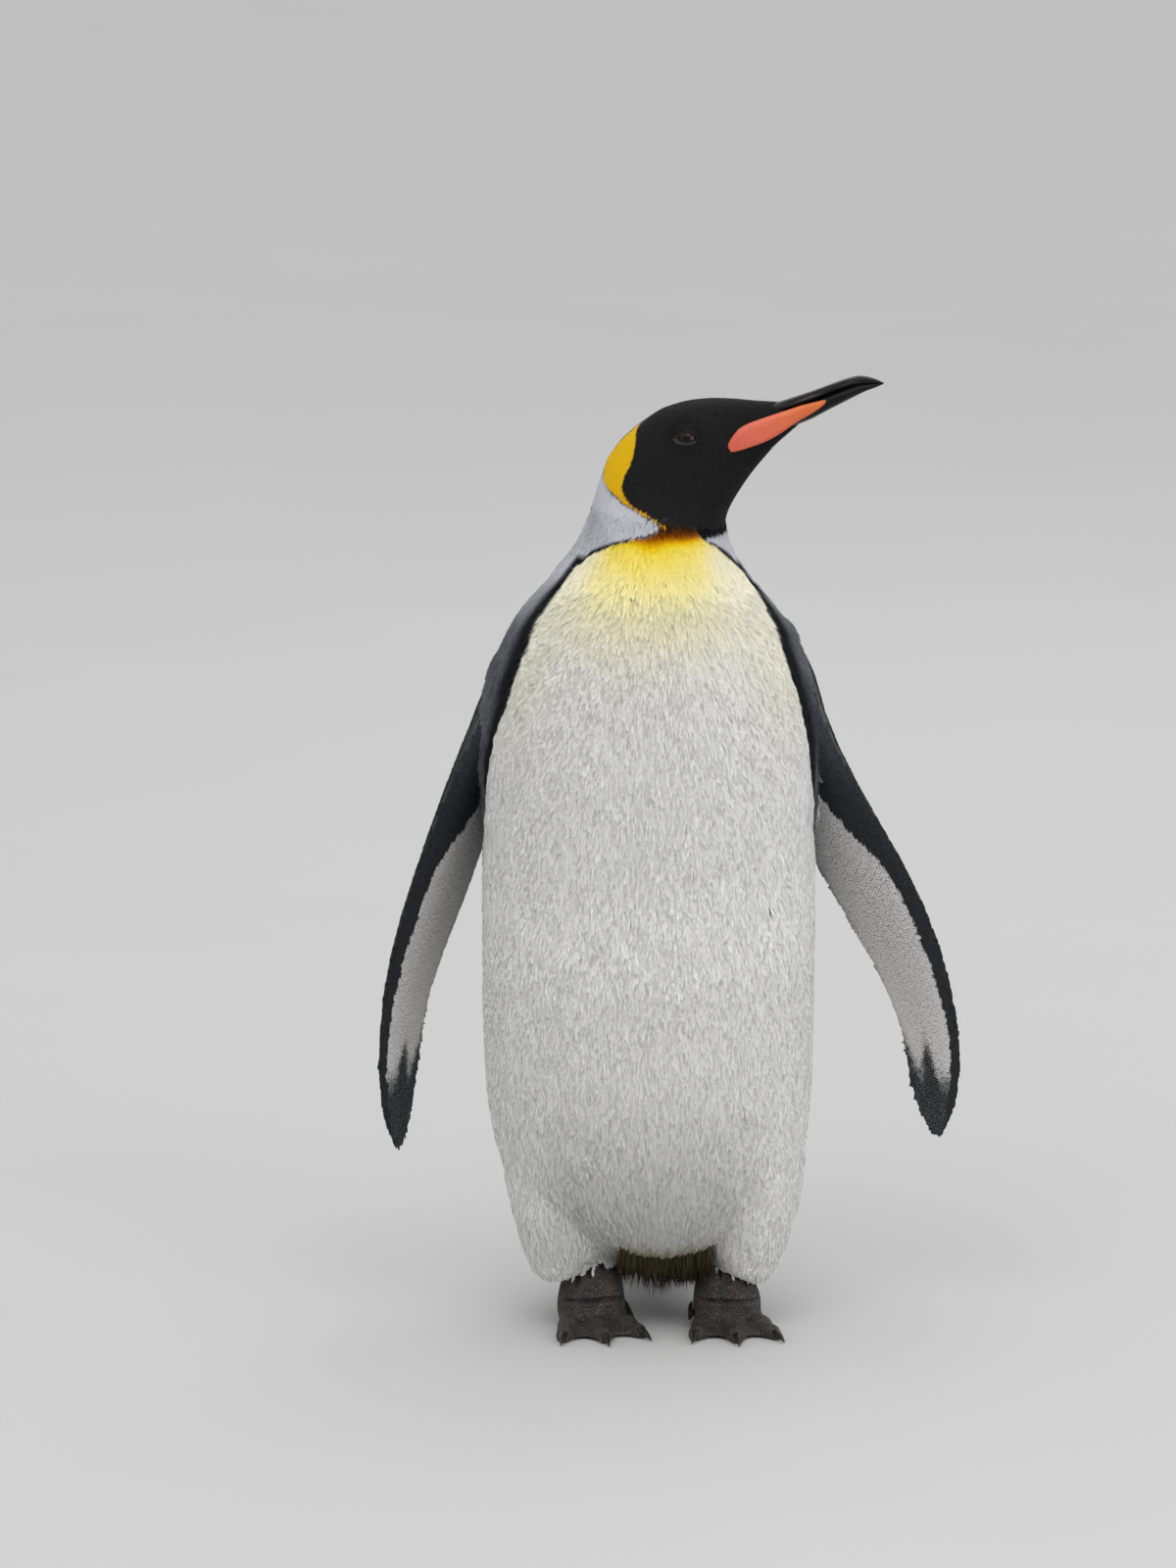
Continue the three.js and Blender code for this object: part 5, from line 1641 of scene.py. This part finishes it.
@dataclass
class Eyes:
    """Both eyeballs, with the cornea's bulge over the iris."""

    marks: Landmarks
    sides: int = 48
    rings: int = 32
    bulge: float = 0.06

    def ball(self, side: str) -> bpy.types.Mesh:
        """One eyeball, its pole looking out sideways."""
        axis = self.marks.right * SIDES[side]
        places, vane = [], []
        angles = np.linspace(0.0, 2.0 * math.pi, self.sides, endpoint=False)
        for tilt in np.linspace(0.02, math.pi - 0.02, self.rings):
            radius = self.marks.eye_radius * (1.0 + self.bulge * math.exp(-((tilt / 0.55) ** 4)) - 0.03)
            ring = [
                self.marks.eye[side] + radius * (
                    axis * math.cos(tilt)
                    + (self.marks.forward * math.cos(angle) + UP * math.sin(angle)) * math.sin(tilt))
                for angle in angles
            ]
            places.append(ring)
            vane.append([(math.cos(angle) * 0.5, tilt / math.pi, math.sin(angle) * 0.5) for angle in angles])
        return loft(f"eyeball_{side}", np.array(places), np.array(vane))

    def build(self) -> None:
        """Makes and dresses both eyes."""
        finish = EyeFinish().material()
        for side in SIDES:
            piece = new_object(f"eyeball_{side}", self.ball(side))
            piece.data.materials.append(finish)
            set_out(piece, "eye", f"eye_{side}")


class Claws:
    """The horn claws, rounded from the construction's own."""

    def build(self) -> None:
        """Makes all eight."""
        finish = HornFinish("claw_horn", dark=(30, 27, 26), wear_and_highlight=0.2).material()
        for side in SIDES:
            for kind in ("claw_inner", "claw_middle", "claw_outer", "hind_claw"):
                node = f"{kind}_{side}"
                piece = smooth_copy(node, f"{node}_horn", 2)
                points = points_of(piece.data)
                share = (points[:, 1] - points[:, 1].min()) / np.ptp(points[:, 1])
                give(piece.data, "vane", np.stack([points[:, 0] * 20.0, share, share * 0.0 + 0.4], axis=1))
                piece.data.materials.append(finish)
                set_out(piece, "claw_horn", node)


# ---- Studio ----
@dataclass
class Studio:
    """A pale floor, soft light and the camera."""

    reach: float = 8.0
    elevation: float = 10.0
    lens: float = 219.5
    target: tuple = (-0.0690, -0.0103, 0.4538)
    horizon: float = 0.42
    zenith: float = 1.4
    floor_radius: float = 60.0
    floor_sides: int = 96
    floor_colour: tuple = (0.46, 0.46, 0.46)

    def build(self) -> None:
        """Sets the floor, lights and camera."""
        bpy.context.scene.view_settings.view_transform = "Standard"
        self.floor()
        self.camera()
        self.lamp("key", (-0.7, -3.2, 4.4), 3.0, 66.0)
        self.lamp("fill", (2.6, -3.0, 0.9), 2.0, 40.0)
        self.lamp("back", (1.2, 3.0, 3.4), 3.0, 30.0)
        self.sky()

    def sky(self) -> None:
        """An even overcast dome, as bright at the horizon as the far floor."""
        world = bpy.data.worlds.new("studio")
        world.use_nodes = True
        graph = NodeGraph(world.node_tree)
        upward = graph.split(graph.node("ShaderNodeTexCoord").outputs["Generated"])["Z"]
        levels = {"Value": upward, "To Min": self.horizon, "To Max": self.zenith}
        glow = graph.node("ShaderNodeMapRange", levels).outputs["Result"]
        graph.feed(world.node_tree.nodes["Background"].inputs["Color"], glow)
        bpy.context.scene.world = world

    def floor(self) -> None:
        """A broad pale disc."""
        angles = np.linspace(0.0, 2.0 * math.pi, self.floor_sides, endpoint=False)
        rim = np.stack([np.cos(angles), np.sin(angles), np.zeros(self.floor_sides)], axis=1) * self.floor_radius
        mesh = bpy.data.meshes.new("floor")
        mesh.from_pydata(rim.tolist(), [], [list(range(self.floor_sides))])
        floor = new_object("floor", mesh)
        shader = Shader("floor")
        grain = shader.ramp(shader.noise(0.4, 2.0), 0.3, 0.7, 0.985, 1.0)
        mesh.materials.append(shader.finish(shader.times(self.floor_colour, grain), Roughness=0.9))

    def camera(self) -> None:
        """Looks slightly down at the bird's front."""
        tilt = math.radians(self.elevation)
        data = bpy.data.cameras.new("camera")
        data.lens = self.lens
        data.sensor_fit = "VERTICAL"
        data.sensor_height = 36.0
        data.clip_end = 200.0
        camera = bpy.data.objects.new("camera", data)
        bpy.context.scene.collection.objects.link(camera)
        camera.location = Vector(self.target) + Vector((0.0, -math.cos(tilt), math.sin(tilt))) * self.reach
        camera.rotation_euler = (math.radians(90.0) - tilt, 0.0, 0.0)
        bpy.context.scene.camera = camera

    def lamp(self, name: str, place: tuple, size: float, power: float) -> None:
        """A large soft lamp that looks at the bird."""
        data = bpy.data.lights.new(name, "AREA")
        data.size = size
        data.energy = power
        lamp = bpy.data.objects.new(name, data)
        bpy.context.scene.collection.objects.link(lamp)
        lamp.location = place
        aim = Vector((0.0, 0.0, 0.4)) - Vector(place)
        lamp.rotation_euler = aim.to_track_quat("-Z", "Y").to_euler()


FRONT = PlumageFinish("front_plumage", gloss=0.0, glow=0.6)
BACK = PlumageFinish("back_plumage", gloss=0.02, glow=0.2)
HOOD = PlumageFinish("hood_plumage", roughness=0.65)
FLIPPER = PlumageFinish("flipper_plumage", root=0.5, tip=1.15, roughness=0.6, gloss=0.05)
QUILL = PlumageFinish("tail_plumage", root=0.8, tip=1.1, roughness=0.55, barbs=160.0)
FOOT = PlumageFinish("foot_scales", roughness=0.5, barbs=0.0, gloss=0.35)

TRACTS = (
    Tract("breast_feathers", "breast", "front_plumage", FRONT, Vane.SOFT, 1.8, 1),
    Tract("belly_feathers", "belly", "front_plumage", FRONT, Vane.SOFT, 1.8, 2),
    Tract("thigh_feathers_right", "thigh_right", "front_plumage", FRONT, Vane.SOFT, 1.65, 3),
    Tract("thigh_feathers_left", "thigh_left", "front_plumage", FRONT, Vane.SOFT, 1.65, 4),
    Tract("mantle_feathers", "mantle", "back_plumage", BACK, Vane.SOFT, 1.8, 5),
    Tract("rump_feathers", "rump", "back_plumage", BACK, Vane.SOFT, 1.8, 6),
    Tract("neck_feathers", "neck", "back_plumage", BACK, Vane.SOFT, 1.35, 7),
    Tract("head_feathers", "head", "hood_plumage", HOOD, Vane.SMALL, 1.0, 8, waves=0.0),
    Tract("tail_coverts", "tail", "back_plumage", BACK, Vane.SOFT, 1.9, 11, waves=0.0),
)
FLIPPER_ROWS = Tract(
    "flipper_feathers", "flipper", "flipper_plumage", FLIPPER, Vane.SCALE, 2.4, 9,
    twist=0.08, waves=0.0, soft=0.4)
FRINGE = Tract("vent_fringe", "belly", "front_plumage", FRONT, Vane.HAIR, 2.0, 13, uneven=0.25, waves=0.0)
SCALES = Tract(
    "foot_scales", "shank", "foot_skin", FOOT, Pebble(), 2.0, 14, uneven=0.12, tone=0.1, waves=0.0, soft=0.0,
    shaded=False)


def main() -> None:
    """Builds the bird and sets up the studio."""
    logging.basicConfig(level=logging.INFO, format="%(message)s")
    marks = Landmarks()
    Studio().build()
    skin = Skin(marks)
    LOG.info("skin: %d vertices", len(skin.points))
    markings = Markings(marks)
    coat = Coat(skin, markings)
    for tract in TRACTS:
        coat.grow(tract)
    for side in SIDES:
        coat.grow_rows(replace(FLIPPER_ROWS, name=f"flipper_feathers_{side}"), side)
    coat.fringe(FRINGE)
    coat.scales(SCALES)
    Tail(coat).build(QUILL)
    coat.clear()
    skin.dress(markings)
    Beak(marks).build()
    BeakPlates().build()
    Eyes(marks).build()
    Claws().build()


if __name__ == "__main__":
    main()
